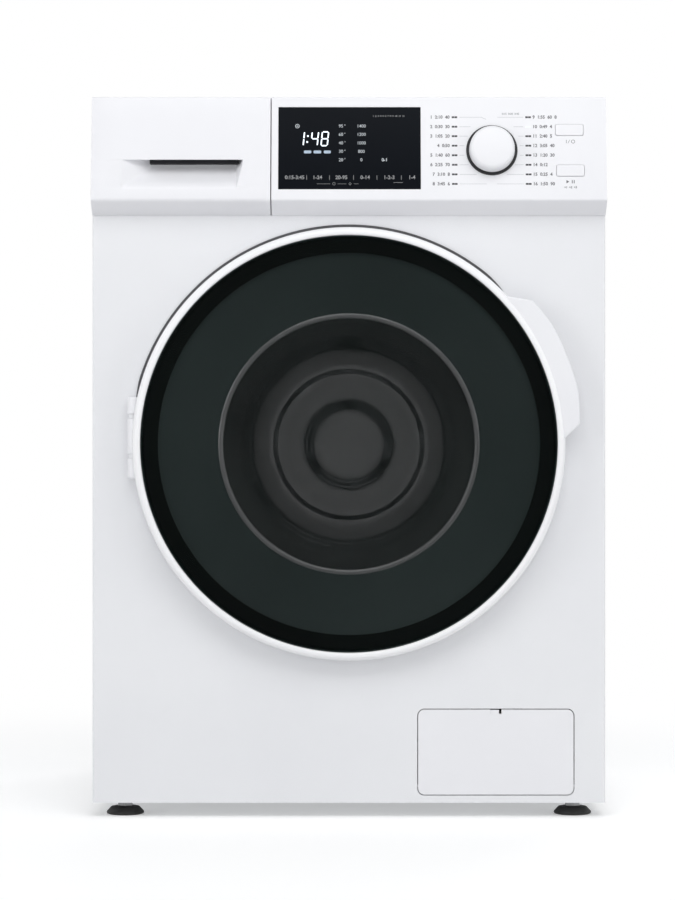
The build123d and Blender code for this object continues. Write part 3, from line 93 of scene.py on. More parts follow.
def span(mat, source, low, high):
    return addNode(mat, "MapRange", {"Value": source, "To Min": low, "To Max": high}).outputs["Result"]


def bump(mat, height, strength, distance):
    node = addNode(mat, "Bump", {"Height": height, "Strength": strength, "Distance": distance})
    return node.outputs["Normal"]


def maths(owner, operation, first, second):
    return addNode(owner, "Math", {0: first, 1: second}, operation=operation).outputs["Value"]


# A finish with a slight drift of colour, uneven roughness and a fine grain
def finish(name, dark, light, rough, grain, depth, metal=0.0, stretch=(1, 1, 1), drift=4.0, strength=0.3,
           shine=0.5):
    mat, shader = newMaterial(name)
    wide = noise(mat, objectCoords(mat), drift, detail=4.0)
    fine = noise(mat, objectCoords(mat, stretch), grain, detail=2.0)
    setInputs(mat, shader, {"Base Color": ramp(mat, wide, dark, light), "Roughness": span(mat, fine, *rough),
                            "Normal": bump(mat, fine, strength, depth), "Metallic": metal,
                            "Specular IOR Level": shine})
    return mat


# Metal with fine brushing along one axis
def brushed(name, dark, light, stretch, rough=(0.22, 0.38)):
    return finish(name, dark, light, rough, grain=260.0, depth=1e-5, metal=1.0, stretch=stretch, drift=6.0,
                  strength=0.15)


# Glass and clear plastic; with edgeAlpha the wall looks denser where it is seen along its length, and there
# its pale colour shows as a painted highlight
def tinted(name, colour, alpha, rough, shine, edgeAlpha=None):
    mat, shader = newMaterial(name)
    smear = noise(mat, objectCoords(mat), scale=7.0, detail=3.0)
    darker = tuple(part * 0.5 for part in colour)
    setInputs(mat, shader, {"Base Color": ramp(mat, smear, darker, colour, start=0.35),
                            "Roughness": span(mat, smear, rough, rough + 0.05),
                            "Specular IOR Level": shine, "Alpha": alpha, "IOR": 1.5})
    if edgeAlpha:
        steep = maths(mat, "POWER", addNode(mat, "LayerWeight").outputs["Facing"], 2.0)
        setInputs(mat, shader, {"Alpha": span(mat, steep, alpha, edgeAlpha)})
    return mat


def glowing(name, colour, strength):
    mat, shader = newMaterial(name)
    shade = noise(mat, objectCoords(mat), scale=400.0, detail=2.0)
    darker = tuple(part * 0.8 for part in colour)
    setInputs(mat, shader, {"Base Color": ramp(mat, shade, darker, colour), "Roughness": 0.4,
                            "Emission Color": (*colour, 1), "Emission Strength": strength})
    return mat


# Zinc with a fine spangle: small facets that differ a little in tone and gloss
def spangled(name, dark, light, scale, rough):
    mat, shader = newMaterial(name)
    facets = addNode(mat, "TexVoronoi", {"Vector": objectCoords(mat), "Scale": scale})
    tone = addNode(mat, "SeparateColor", {"Color": facets.outputs["Color"]}).outputs
    fine = noise(mat, objectCoords(mat), scale=500.0, detail=2.0)
    setInputs(mat, shader, {"Base Color": ramp(mat, tone["Red"], dark, light, start=0.0, end=1.0),
                            "Roughness": span(mat, tone["Green"], *rough),
                            "Normal": bump(mat, fine, strength=0.1, distance=1e-5), "Metallic": 0.9})
    return mat


# Each finish has its dark and light tone, its range of roughness, and the scale and depth of its grain
mats = {
    "enamel": finish("whiteEnamel", (0.80, 0.805, 0.83), (0.84, 0.845, 0.865), (0.22, 0.32), 1400, 1.5e-5),
    "moulding": finish("whiteMoulding", (0.82, 0.82, 0.85), (0.86, 0.86, 0.885), (0.28, 0.38), 2200, 8e-6),
    "innerPlastic": finish("paleInnerPlastic", (0.66, 0.67, 0.68), (0.72, 0.73, 0.74), (0.45, 0.6), 1500,
                           2e-5),
    "blackPlastic": finish("blackPlastic", (0.012, 0.012, 0.014), (0.022, 0.022, 0.025), (0.4, 0.55), 1800,
                           2e-5, shine=0.3),
    "stripBlack": finish("gripStrip", (0.006, 0.006, 0.008), (0.014, 0.014, 0.017), (0.45, 0.6), 700, 2e-5,
                         drift=60.0, shine=0.12),
    "greyPlastic": finish("greyPlastic", (0.16, 0.165, 0.17), (0.2, 0.205, 0.21), (0.4, 0.55), 1600, 2e-5),
    # dark plastic of the door frame, made lighter to make up for the window glass's dimmed reflection: partly
    # its own colour, partly painted reflection
    "frameToneAndReflection": finish("darkFramePlasticAndReflection", (0.1, 0.135, 0.133), (0.145, 0.19, 0.187), (0.35, 0.5), 900,
                         1e-5, shine=0.2),
    "board": finish("circuitLaminate", (0.01, 0.06, 0.02), (0.02, 0.11, 0.035), (0.3, 0.5), 500, 4e-5),
    "zinc": spangled("zincCoat", (0.54, 0.56, 0.58), (0.66, 0.68, 0.7), 130.0, (0.38, 0.5)),
    "castMetal": finish("castAluminium", (0.5, 0.51, 0.52), (0.6, 0.61, 0.62), (0.45, 0.62), 700, 8e-5,
                        metal=1.0),
    "steel": brushed("turnedSteel", (0.45, 0.46, 0.48), (0.55, 0.56, 0.58), (1, 0.1, 1)),
    "stainless": brushed("drumStainless", (0.6, 0.61, 0.62), (0.7, 0.71, 0.72), (1, 0.04, 1), (0.18, 0.3)),
    "footSteel": brushed("footSteel", (0.25, 0.255, 0.26), (0.33, 0.335, 0.34), (1, 1, 0.2), (0.35, 0.5)),
    "greyRubber": finish("greyRubber", (0.17, 0.175, 0.18), (0.22, 0.225, 0.23), (0.55, 0.7), 1100, 4e-5),
    "blackRubber": finish("blackRubber", (0.015, 0.015, 0.015), (0.03, 0.03, 0.03), (0.6, 0.75), 1000, 5e-5),
    "linerGrey": finish("linerPlastic", (0.27, 0.275, 0.285), (0.31, 0.315, 0.325), (0.38, 0.5), 1500, 2e-5),
    # dark grey tub plastic, darkened so that the drum's holes look dark: partly its own colour, partly
    # painted shade behind the holes
    "tubPlasticAndShade": finish("tubPlasticAndShade", (0.2, 0.205, 0.21), (0.26, 0.265, 0.27), (0.5, 0.65), 900, 3e-5),
    "concrete": finish("castConcrete", (0.3, 0.29, 0.275), (0.46, 0.45, 0.43), (0.8, 0.95), 260, 6e-4,
                       drift=30.0),
    "laminate": finish("whiteLaminate", (0.80, 0.80, 0.82), (0.84, 0.84, 0.86), (0.3, 0.42), 1900, 3e-5),
    "displayBlack": finish("displayBlack", (0.003, 0.0042, 0.0065), (0.0042, 0.0058, 0.0088), (0.1, 0.16),
                           60, 2e-6, shine=0.04),
    "windowGlass": tinted("windowGlass", (0.003, 0.0055, 0.005), 0.42, 0.03, shine=0.03),
    # the bowl's pale colour, shown where the wall is seen edge-on, is a painted highlight on its rim
    "bowlGlass": tinted("bowlGlass", (0.27, 0.31, 0.3), 0.1, 0.03, shine=0.3, edgeAlpha=0.75),
    "borderInk": finish("borderInk", (0.002, 0.0025, 0.0025), (0.004, 0.0045, 0.0045), (0.4, 0.5), 900,
                        4e-6, shine=0.04),
    # the door ring: the same white moulding as the pull, made lighter as painted light for the ring's
    # brighter look
    "ringWhitePaintedLight": finish("ringWhitePaintedLight", (0.9, 0.9, 0.915), (0.935, 0.935, 0.95), (0.22, 0.3), 2200, 6e-6),
    # dark rubber of the door buffer, whose lip is a painted shadow line round the ring
    "shadowLineRubber": finish("shadowLineRubber", (0.05, 0.05, 0.055), (0.075, 0.075, 0.08), (0.5, 0.6), 1200, 1e-5),
    # pale trim on the bowl's rim, partly a painted highlight
    "trim": finish("bowlTrimHighlight", (0.55, 0.56, 0.57), (0.66, 0.67, 0.68), (0.2, 0.3), 900, 4e-6, metal=0.6),
    "print": finish("greyPrint", (0.13, 0.13, 0.14), (0.17, 0.17, 0.18), (0.4, 0.5), 1500, 2e-6),
    "palePrint": finish("palePrint", (0.36, 0.37, 0.39), (0.42, 0.43, 0.45), (0.4, 0.5), 1500, 2e-6),
    "touchPrint": finish("touchPrint", (0.26, 0.265, 0.275), (0.31, 0.315, 0.325), (0.4, 0.5), 1500, 2e-6),
    "legend": finish("displayLegend", (0.56, 0.6, 0.64), (0.64, 0.68, 0.72), (0.4, 0.5), 1500, 2e-6),
    "lampDark": finish("unlitLamp", (0.02, 0.02, 0.024), (0.035, 0.035, 0.04), (0.3, 0.4), 1500, 2e-6),
    "lampLit": glowing("litLamp", (0.75, 0.78, 0.8), 0.3),
    "digits": glowing("litDigits", (0.85, 0.93, 1.0), 1.0),
    "pill": glowing("litPill", (0.34, 0.42, 0.52), 0.32),
}

nodeFinish = {
    "enamel": ("side_panel_left", "side_panel_right", "front_panel", "hinge_bracket"),
    "moulding": ("control_fascia", "drawer_front", "program_knob", "power_button", "start_button",
                 "filter_flap", "door_ring", "hinge_arm", "transit_bolt_caps"),
    "innerPlastic": ("drawer_tray", "dispenser_housing", "inlet_valve", "drain_pump", "drum_lifters"),
    "tubPlasticAndShade": ("tub_front", "tub_rear"),
    "stripBlack": ("drawer_grip",),
    "blackPlastic": ("knob_surround", "cord_gland", "door_lock", "blower_wheel", "damper_cylinders",
                     "levelling_feet"),
    "greyPlastic": ("siphon_cap", "drain_spigot", "drain_filter", "damper_rods"),
    "frameToneAndReflection": ("door_frame",),
    "board": ("control_board",),
    "zinc": ("base_tray", "rear_frame", "rear_cover", "top_crossbar"),
    "castMetal": ("drum_spider", "drum_pulley", "drive_motor", "dryer_duct"),
    "steel": ("case_screws", "door_hook", "tub_bearings", "wash_heater", "motor_pulley",
              "suspension_springs"),
    "stainless": ("drum_shell", "drum_front_plate", "drum_back_plate"),
    "greyRubber": ("door_gasket",),
    "blackRubber": ("water_hoses", "drive_belt", "dispenser_hose", "sump_hose"),
    "concrete": ("counterweights",),
    "laminate": ("worktop",),
    "displayBlack": ("display_window",),
    "windowGlass": ("door_window",),
    "bowlGlass": ("door_bowl",),
}


def setMaterial(obj, mat):
    if not obj.material_slots:
        obj.data.materials.append(mat)
    for holder in obj.material_slots:
        holder.material = mat


for finishName, nodeNames in nodeFinish.items():
    for nodeName in nodeNames:
        setMaterial(bpy.data.objects[nodeName], mats[finishName])
print("materials set on", sum(len(names) for names in nodeFinish.values()), "nodes")


# Modelling helpers. Pieces are measured in millimetres, where nothing else is said, and made in metres

weld = 0.00001                                # points closer than this, in metres, become one
fineWeld = 0.000001
core = 0.05                                   # a spun section keeps this far from its axis
axleZ = 0.433                                 # height of the drum's and the door's axis, in metres
axleSpot = Vector((0, 0, axleZ))


def deselectAll():
    bpy.ops.object.select_all(action="DESELECT")


def work(obj):
    deselectAll()
    bpy.context.view_layer.objects.active = obj
    obj.select_set(True)


def editAll(obj):
    work(obj)
    bpy.ops.object.mode_set(mode="EDIT")
    bpy.ops.mesh.select_all(action="SELECT")


def endEdit():
    bpy.ops.object.mode_set(mode="OBJECT")


def settle(obj):                              # its place, turn and size go into its mesh
    work(obj)
    bpy.ops.object.transform_apply(location=True, rotation=True, scale=True)


def newMesh(name, points, edges=(), faces=()):
    mesh = bpy.data.meshes.new(name)
    mesh.from_pydata([tuple(point) for point in points], list(edges), list(faces))
    obj = bpy.data.objects.new(name, mesh)
    bpy.context.collection.objects.link(obj)
    return obj


def modify(obj, kind, **settings):
    modifier = obj.modifiers.new(kind, kind)
    for key, value in settings.items():
        setattr(modifier, key, value)
    work(obj)
    bpy.ops.object.modifier_apply(modifier=modifier.name)


def bevelled(obj, width, segments=2, angle=40):
    modify(obj, "BEVEL", width=width / 1000, segments=segments, limit_method="ANGLE",
           angle_limit=radians(angle))


def thickened(obj, thick, offset):
    modify(obj, "SOLIDIFY", thickness=thick, offset=offset)


def smooth(obj, angle):
    work(obj)
    bpy.ops.object.shade_smooth_by_angle(angle=radians(angle))


def mend(obj, distance=weld):
    editAll(obj)
    bpy.ops.mesh.remove_doubles(threshold=distance)
    bpy.ops.mesh.normals_make_consistent(inside=False)
    endEdit()


def flip(obj):
    editAll(obj)
    bpy.ops.mesh.flip_normals()
    endEdit()


def pushedBack(obj, deep):
    editAll(obj)
    bpy.ops.mesh.extrude_region_move(TRANSFORM_OT_translate={"value": (0, deep / 1000, 0)})
    endEdit()
    mend(obj)


def keep(obj, body, mat, replaced=()):
    settle(obj)
    setMaterial(obj, mat)
    if body:                                  # a piece that is blended between two bodies rides on neither
        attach(obj, body)
    if replaced:
        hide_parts(*replaced)


# A closed section of (radius, height) points, spun about an axis
def spinPiece(name, section, steps, origin=axleSpot, axis=(0, 1, 0), angle=35):
    axis, radial = Vector(axis), Vector((1, 0, 0))
    points = [origin + radial * (r / 1000) + axis * (h / 1000) for r, h in section]
    edges = [(i, (i + 1) % len(points)) for i in range(len(points))]
    obj = newMesh(name, points, edges)
    editAll(obj)
    bpy.ops.mesh.spin(steps=steps, angle=2 * pi, center=origin, axis=axis)
    endEdit()
    mend(obj)
    smooth(obj, angle)
    return obj


def slab(low, high, name="slab"):
    bpy.ops.mesh.primitive_cube_add(size=1, location=[(a + b) / 2000 for a, b in zip(low, high)])
    block = bpy.context.object
    block.name = name
    block.scale = [abs(b - a) / 1000 for a, b in zip(low, high)]
    settle(block)
    return block


def cutAway(obj, low, high):
    cutter = slab(low, high)
    modify(obj, "BOOLEAN", object=cutter, operation="DIFFERENCE", solver="EXACT")
    bpy.data.objects.remove(cutter, do_unlink=True)


def joined(name, pieces):
    deselectAll()
    for piece in pieces:
        piece.select_set(True)
    bpy.context.view_layer.objects.active = pieces[0]
    bpy.ops.object.join()
    pieces[0].name = name
    return pieces[0]


def arc(turn, steps):
    return [turn * i / steps for i in range(steps + 1)]


def within(share):
    return max(0, min(1, share))


def eased(start, end, t):                     # leaves and arrives gently
    return start + (end - start) * (1 - cos(pi * t)) / 2


# Camera, about level with the middle of the machine
camera = {"place": (0.0, -3.67, 0.426), "lens": 156.4, "shift": (-0.0169, 0.0)}
bpy.ops.object.camera_add(location=camera["place"], rotation=(radians(90), 0, 0))
viewCamera = bpy.context.object
viewCamera.data.sensor_fit = "HORIZONTAL"
viewCamera.data.lens = camera["lens"]
viewCamera.data.shift_x, viewCamera.data.shift_y = camera["shift"]
bpy.context.scene.camera = viewCamera

# Plain pale floor that fades into a white backdrop
studio = {"floorSize": 12.0, "floorCells": 24, "floorTone": 0.82, "floorLift": 0.3, "floorFade": (0.5, 1.5),
          "worldLight": 0.435, "worldColour": (0.96, 0.98, 1.0, 1), "white": (1, 1, 1, 1)}


# 1 for a ray that shows the ground or the room itself, and 0 for one that only gathers its light
def seenItself(owner):
    rays = addNode(owner, "LightPath").outputs
    seen = maths(owner, "MAXIMUM", rays["Is Camera Ray"], rays["Is Glossy Ray"])
    return maths(owner, "MAXIMUM", seen, rays["Is Transmission Ray"])


def paleGround(name, tone, lift, near, far):
    mat, shader = newMaterial(name)
    coords = objectCoords(mat)
    shade = noise(mat, coords, scale=0.7, detail=2.0)
    setInputs(mat, shader, {"Base Color": ramp(mat, shade, (tone,) * 3, (tone + 0.01,) * 3),
                            "Roughness": 0.9, "Specular IOR Level": 0.1})
    seen = seenItself(mat)
    glow = addNode(mat, "Emission", {"Strength": maths(mat, "MULTIPLY", seen, lift)})
    both = addNode(mat, "AddShader", {0: shader.outputs["BSDF"], 1: glow.outputs["Emission"]})
    length = addNode(mat, "VectorMath", {0: coords}, operation="LENGTH")
    fade = addNode(mat, "MapRange", {"Value": length.outputs["Value"], "From Min": near, "From Max": far},
                   interpolation_type="SMOOTHSTEP")
    share = maths(mat, "MULTIPLY", fade.outputs["Result"], seen)
    plain = addNode(mat, "Emission", {"Strength": 1.0})
    pick = addNode(mat, "MixShader", {"Fac": share, 1: both.outputs["Shader"], 2: plain.outputs["Emission"]})
    setInputs(mat, mat.node_tree.nodes["Material Output"], {"Surface": pick.outputs["Shader"]})
    return mat


bpy.ops.mesh.primitive_grid_add(x_subdivisions=studio["floorCells"], y_subdivisions=studio["floorCells"],
                                size=studio["floorSize"], location=(0, 0, 0))
floorPiece = bpy.context.object
floorPiece.name = "paleFloor"
ground = paleGround("paleFloor", studio["floorTone"], studio["floorLift"], *studio["floorFade"])
setMaterial(floorPiece, ground)

world = bpy.data.worlds.new("softRoom")
world.use_nodes = True
bpy.context.scene.world = world
world.node_tree.nodes.clear()
lit = addNode(world, "Background", {"Color": studio["worldColour"], "Strength": studio["worldLight"]})
white = addNode(world, "Background", {"Color": studio["white"], "Strength": 1.0})
pick = addNode(world, "MixShader", {"Fac": seenItself(world), 1: lit.outputs["Background"],
                                    2: white.outputs["Background"]})
addNode(world, "OutputWorld", {"Surface": pick.outputs["Shader"]})

# Soft lamps: a wide one over the front, one at each side and one behind
lamps = {
    "overFront": {"place": (0.3, -2.6, 3.0), "target": (0, -0.2, 0.5), "size": (3.2, 2.2), "power": 49},
    "leftSide": {"place": (-3.0, -2.2, 1.4), "target": (0, 0, 0.45), "size": (1.6, 2.4), "power": 31},
    "rightSide": {"place": (3.0, -2.0, 1.2), "target": (0, 0, 0.45), "size": (1.6, 2.4), "power": 22},
    "behind": {"place": (0.6, 3.0, 2.6), "target": (0, 0.2, 0.5), "size": (2.6, 1.8), "power": 40},
}
for lampName, lamp in lamps.items():
    bpy.ops.object.light_add(type="AREA", location=lamp["place"])
    light = bpy.context.object
    light.name = lampName
    light.data.shape = "RECTANGLE"
    light.data.size, light.data.size_y = lamp["size"]
    light.data.energy = lamp["power"]
    aim = Vector(lamp["target"]) - Vector(lamp["place"])
    light.rotation_euler = aim.to_track_quat("-Z", "Y").to_euler()

bpy.context.scene.view_settings.view_transform = "Standard"
print("camera, floor and lamps ready")

# Door rim with a rounded front edge, and the pull at its upper right, whose outline is in (radius, degrees).
# The cuts clear the hinge's bracket and arm, and each goes from its low corner to its high one
rim = {"inner": 240.3, "outer": 250.0, "front": -299.0, "back": -271.7, "roundWide": 6.0, "roundDeep": 10.0,
       "roundSteps": 8, "innerEdge": ((2.3, 0), (1.0, 0.3), (0.3, 0.9), (0, 1.6)), "steps": 192}
hingeCuts = {"bracket": ((-262, -288.8, 392.7), (-239.7, -270.7, 487.3)),
             "arm": ((-248, -278, 396.7), (-225.7, -270.7, 483.3))}
pull = {"front": -297.5, "thick": 9.0, "edge": 1.6, "edgeSteps": 4, "curveSteps": 6, "innerSteps": 16,
        "outline": ((244, 0.5), (267, 5.0), (271, 15.0), (271, 29.0), (268, 38.0), (244, 44.5))}


def onRing(radius, turn):
    return radius * cos(radians(turn)), 1000 * axleZ + radius * sin(radians(turn))


def pullOutline():
    first, *outer, last = [onRing(radius, turn) for radius, turn in pull["outline"]]
    spots = [first]
    controls = [outer[0]] + outer + [outer[-1]]
    for i in range(1, len(controls) - 2):     # a smooth curve through the outer points
        a, b, c, d = [Vector(spot) for spot in controls[i - 1:i + 3]]
        for step in range(pull["curveSteps"]):
            t = step / pull["curveSteps"]
            spots.append(tuple(0.5 * (2 * b + (c - a) * t + (2 * a - 5 * b + 4 * c - d) * t * t
                                      + (3 * b - a - 3 * c + d) * t ** 3)))
    spots += [outer[-1], last]
    inner, low = pull["outline"][0]
    high, steps = pull["outline"][-1][1], pull["innerSteps"]
    return spots + [onRing(inner, high + (low - high) * i / steps) for i in range(1, steps)]


def makeDoorRim():
    outer, front = rim["outer"], rim["front"]
    section = [(outer - rim["roundWide"] * (1 - cos(a)), front + rim["roundDeep"] * (1 - sin(a)))
               for a in arc(pi / 2, rim["roundSteps"])]
    section += [(rim["inner"] + wide, front + deep) for wide, deep in rim["innerEdge"]]
    section += [(rim["inner"], rim["back"]), (outer, rim["back"])]
    ring = spinPiece("doorRim", section, rim["steps"])
    for low, high in hingeCuts.values():
        cutAway(ring, low, high)
    smooth(ring, 40)
    # the ring's lighter white is painted light
    keep(ring, "door", mats["ringWhitePaintedLight"], ("door_ring",))

    spots = pullOutline()
    tab = newMesh("doorPull", [(x / 1000, pull["front"] / 1000, z / 1000) for x, z in spots],
                  faces=[range(len(spots))])
    pushedBack(tab, pull["thick"])
    bevelled(tab, pull["edge"], pull["edgeSteps"], 50)
    smooth(tab, 40)
    keep(tab, "door", mats["moulding"], ("door_ring",))


makeDoorRim()
print("door rim and pull ready")

# Black border printed behind the edge of the outer window
window = {"domeRadius": 3843.75, "centreY": -301.5, "borderIn": 220.0, "borderOut": 238.5, "borderGap": 0.02,
          "borderThick": 0.18, "rings": 6, "steps": 192}


def behindGlass(radius):
    return window["centreY"] + window["domeRadius"] - sqrt(window["domeRadius"] ** 2 - radius ** 2)


def makeWindowBorder():
    wide = window["borderOut"] - window["borderIn"]
    front = [(r, behindGlass(r) + window["borderGap"]) for r in
             (window["borderIn"] + part for part in arc(wide, window["rings"]))]
    section = front + [(r, y + window["borderThick"]) for r, y in reversed(front)]
    border = spinPiece("windowBorder", section, window["steps"])
    keep(border, "door", mats["borderInk"])


makeWindowBorder()

# Rubber buffer on the back of the ring. Its dark lip reaches out past the ring only from the pull over the
# top to near the hinge, a painted shadow line in the gap round the ring
bufferAndShadowLine = {"inner": 243.0, "outer": 249.6, "lip": 254.3, "from": 43.5, "to": 170.0, "taper": 7.0,
          "front": -271.6, "back": -270.8, "edge": 0.2, "steps": 240}


def lipReach(turn):
    near = min(turn - bufferAndShadowLine["from"], bufferAndShadowLine["to"] - turn)
    return bufferAndShadowLine["outer"] + (bufferAndShadowLine["lip"] - bufferAndShadowLine["outer"]) * sqrt(within(near / bufferAndShadowLine["taper"]))


def makeDoorBufferShadowLine():
    count = bufferAndShadowLine["steps"]
    spots = []
    for i in range(count):
        turn = 360 * i / count
        for radius in (bufferAndShadowLine["inner"], lipReach(turn)):
            x, z = onRing(radius, turn)
            spots.append((x / 1000, bufferAndShadowLine["front"] / 1000, z / 1000))
    faces = [(2 * i, 2 * i + 1, (2 * i + 3) % (2 * count), (2 * i + 2) % (2 * count)) for i in range(count)]
    strip = newMesh("doorBufferShadowLine", spots, faces=faces)
    pushedBack(strip, bufferAndShadowLine["back"] - bufferAndShadowLine["front"])
    for low, high in hingeCuts.values():
        cutAway(strip, low, high)
    bevelled(strip, bufferAndShadowLine["edge"], 1, 60)
    # the lip's dark rubber is a painted shadow line
    keep(strip, "door", mats["shadowLineRubber"])


makeDoorBufferShadowLine()

# Door frame: the dark flare behind the outer window, and the grey liner on the inner side with its screws.
# A boss and a screw head are given as (radius, height) over the liner's pressed field
doorFrame = {"outer": 240.0, "throat": 158.0, "joint": -276.4, "steps": 160,
             "flare": ((240.0, -294.0), (227.0, -294.0), (226.0, -293.6), (148.0, -277.7), (148.0, -275.7),
                       (158.0, -275.7), (158.0, -276.4), (240.0, -276.4))}
liner = {"back": -271.7, "edge": 0.6, "sunk": 2.6, "fieldOut": 214.0, "fieldIn": 170.0, "slope": 5.0,
         "slopeSteps": 6, "screws": 10, "screwRing": 205.5, "sides": 24,
         "boss": ((core, -0.4), (7.2, -0.4), (6.8, 0.6), (6.4, 0.9), (4.8, 0.9), (4.5, 0.5), (4.3, 0.1),
                  (core, 0.1)),
         "head": 3.8, "headSide": 0.935, "headTop": 1.7, "domeAt": (0.35, 0.7, 1.05, 1.3),
         "cross": {"half": 0.6, "arm": 2.1, "deep": 0.8, "over": 1.0}}


def copiesRound(source, count):
    copies = [source]
    for i in range(1, count):
        turn = Matrix.Rotation(2 * pi * i / count, 4, "Y")
        around = Matrix.Translation(axleSpot) @ turn @ Matrix.Translation(-axleSpot)
        copies.append(newMesh(source.name, [around @ v.co for v in source.data.vertices],
                              faces=[list(face.vertices) for face in source.data.polygons]))
    return copies


def makeLiner():
    outer, throat, joint, edge = doorFrame["outer"], doorFrame["throat"], doorFrame["joint"], liner["edge"]
    back, low = liner["back"], liner["back"] - liner["sunk"]
    section = [(outer, joint), (outer, back - edge), (outer - edge, back)]
    for radius, high, deep in ((liner["fieldOut"], back, low), (liner["fieldIn"], low, back)):
        section += [(radius - liner["slope"] * t, eased(high, deep, t)) for t in arc(1, liner["slopeSteps"])]
    section += [(throat + edge, back), (throat, back - edge), (throat, joint)]
    return spinPiece("doorLiner", section, doorFrame["steps"])


def makeLinerScrews():
    low, sides = liner["back"] - liner["sunk"], liner["sides"]
    x, z = liner["screwRing"], 1000 * axleZ
    spot = Vector((x / 1000, 0, axleZ))
    radius, side, rise = liner["head"], liner["headSide"], liner["headTop"] - liner["headSide"]
    head = [(core, 0), (radius, 0), (radius, side)]
    head += [(radius * cos(a), side + rise * sin(a)) for a in liner["domeAt"]] + [(core, liner["headTop"])]
    seat = spinPiece("seat", [(r, low + h) for r, h in liner["boss"]], sides, spot, angle=30)
    screw = spinPiece("screw", [(r, low + h) for r, h in head], sides, spot, angle=30)
    cross, top = liner["cross"], low + liner["headTop"]
    for wide, tall in ((cross["half"], cross["arm"]), (cross["arm"], cross["half"])):
        cutAway(screw, (x - wide, top - cross["deep"], z - tall), (x + wide, top + cross["over"], z + tall))
    for name, piece, slotName, finishName in (("linerBosses", seat, "frame_grey", "linerGrey"),
                                              ("linerScrews", screw, "steel", "steel")):
        whole = joined(name, copiesRound(piece, liner["screws"]))
        mend(whole, fineWeld)
        smooth(whole, 30)
        keep(whole, "door", mats[finishName])


def makeDoorFrame():
    flare = spinPiece("doorFrame", doorFrame["flare"], doorFrame["steps"])
    # the flare's lightened dark plastic is partly painted reflection
    for piece, finishName in ((flare, "frameToneAndReflection"), (makeLiner(), "linerGrey")):
        cutAway(piece, *hingeCuts["arm"])
        smooth(piece, 30)
        keep(piece, "door", mats[finishName], ("door_frame",))
    makeLinerScrews()


makeDoorFrame()
print("door frame and liner ready")

# Trim ring round the rim of the glass bowl; its pale metal is partly a painted highlight standing in for the
# light arcs on the bowl's rim
trim = {"centre": (148.6, -276.8), "wide": 3.4, "deep": 2.6, "sides": 20, "steps": 160}


def makeBowlTrimHighlight():
    r, y = trim["centre"]
    turns = arc(2 * pi, trim["sides"])[:-1]
    section = [(r + trim["wide"] * cos(a), y + trim["deep"] * sin(a)) for a in turns]
    ring = spinPiece("bowlTrimHighlight", section, trim["steps"], angle=60)
    keep(ring, "door", mats["trim"])


makeBowlTrimHighlight()

# Door seal: lip against the bowl, groove round the panel's edge, rounded folds, cuff on the tub
seal = {"lip": ((151.0, -261.0), (150.9, -262.3), (151.7, -263.7), (153.2, -264.3), (154.5, -264.0),
                (155.6, -264.5), (161.0, -269.4), (162.0, -270.4)),
        "groove": ((163.2, -271.2), (170.5, -271.2), (171.3, -270.8), (171.5, -270.0), (167.8, -270.0),
                   (167.8, -268.8), (172.0, -268.8), (172.0, -265.8)),
        "folds": ((166, -265.8), (176, -257), (164, -247), (176, -237), (164, -227), (174, -220),
                  (173, -217)),
        "foldSteps": 8, "cuff": (173.0, -205.0), "thick": 2.5, "lipBack": ((162.0, -265.8), (151.6, -259.6)),
        "blend": (-0.258, -0.215), "steps": 160}


def makeDoorSeal():
    line = []
    for (r0, y0), (r1, y1) in zip(seal["folds"], seal["folds"][1:]):
        line += [(eased(r0, r1, t), y0 + (y1 - y0) * t) for t in arc(1, seal["foldSteps"])[:-1]]
    line += [seal["folds"][-1], seal["cuff"]]
    section = [*seal["lip"], *seal["groove"], *((r + seal["thick"], y) for r, y in line), *reversed(line),
               *seal["lipBack"]]
    gasket = spinPiece("doorSeal", section, seal["steps"], angle=50)
    keep(gasket, None, mats["greyRubber"], ("door_gasket",))
    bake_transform(gasket)


makeDoorSeal()
print("door seal ready")

# Perforated drum wall with a shallow pillow between its holes, in metres
drum = {"radius": 0.2388, "front": -0.1888, "back": 0.1688, "around": 80, "along": 18, "hole": 0.0021,
        "holeSides": 8, "pillow": 0.0012, "near": 0.01, "sheet": 0.0012}


# A flat tile with a round hole, whose outer points are moved out to the corners and middles of its sides
def holedTile(half):
    bpy.ops.mesh.primitive_circle_add(vertices=drum["holeSides"], radius=drum["hole"], location=(0, 0, 0))
    tile = bpy.context.object
    tile.name = "drumWall"
    editAll(tile)
    bpy.ops.mesh.extrude_edges_move()
    endEdit()
    for corner in list(tile.data.vertices)[drum["holeSides"]:]:
        turn = atan2(corner.co.y, corner.co.x)
        side = [round(part * sqrt(2)) for part in (cos(turn), sin(turn))]
        corner.co = (side[0] * half.x, side[1] * half.y, 0)
    return tile


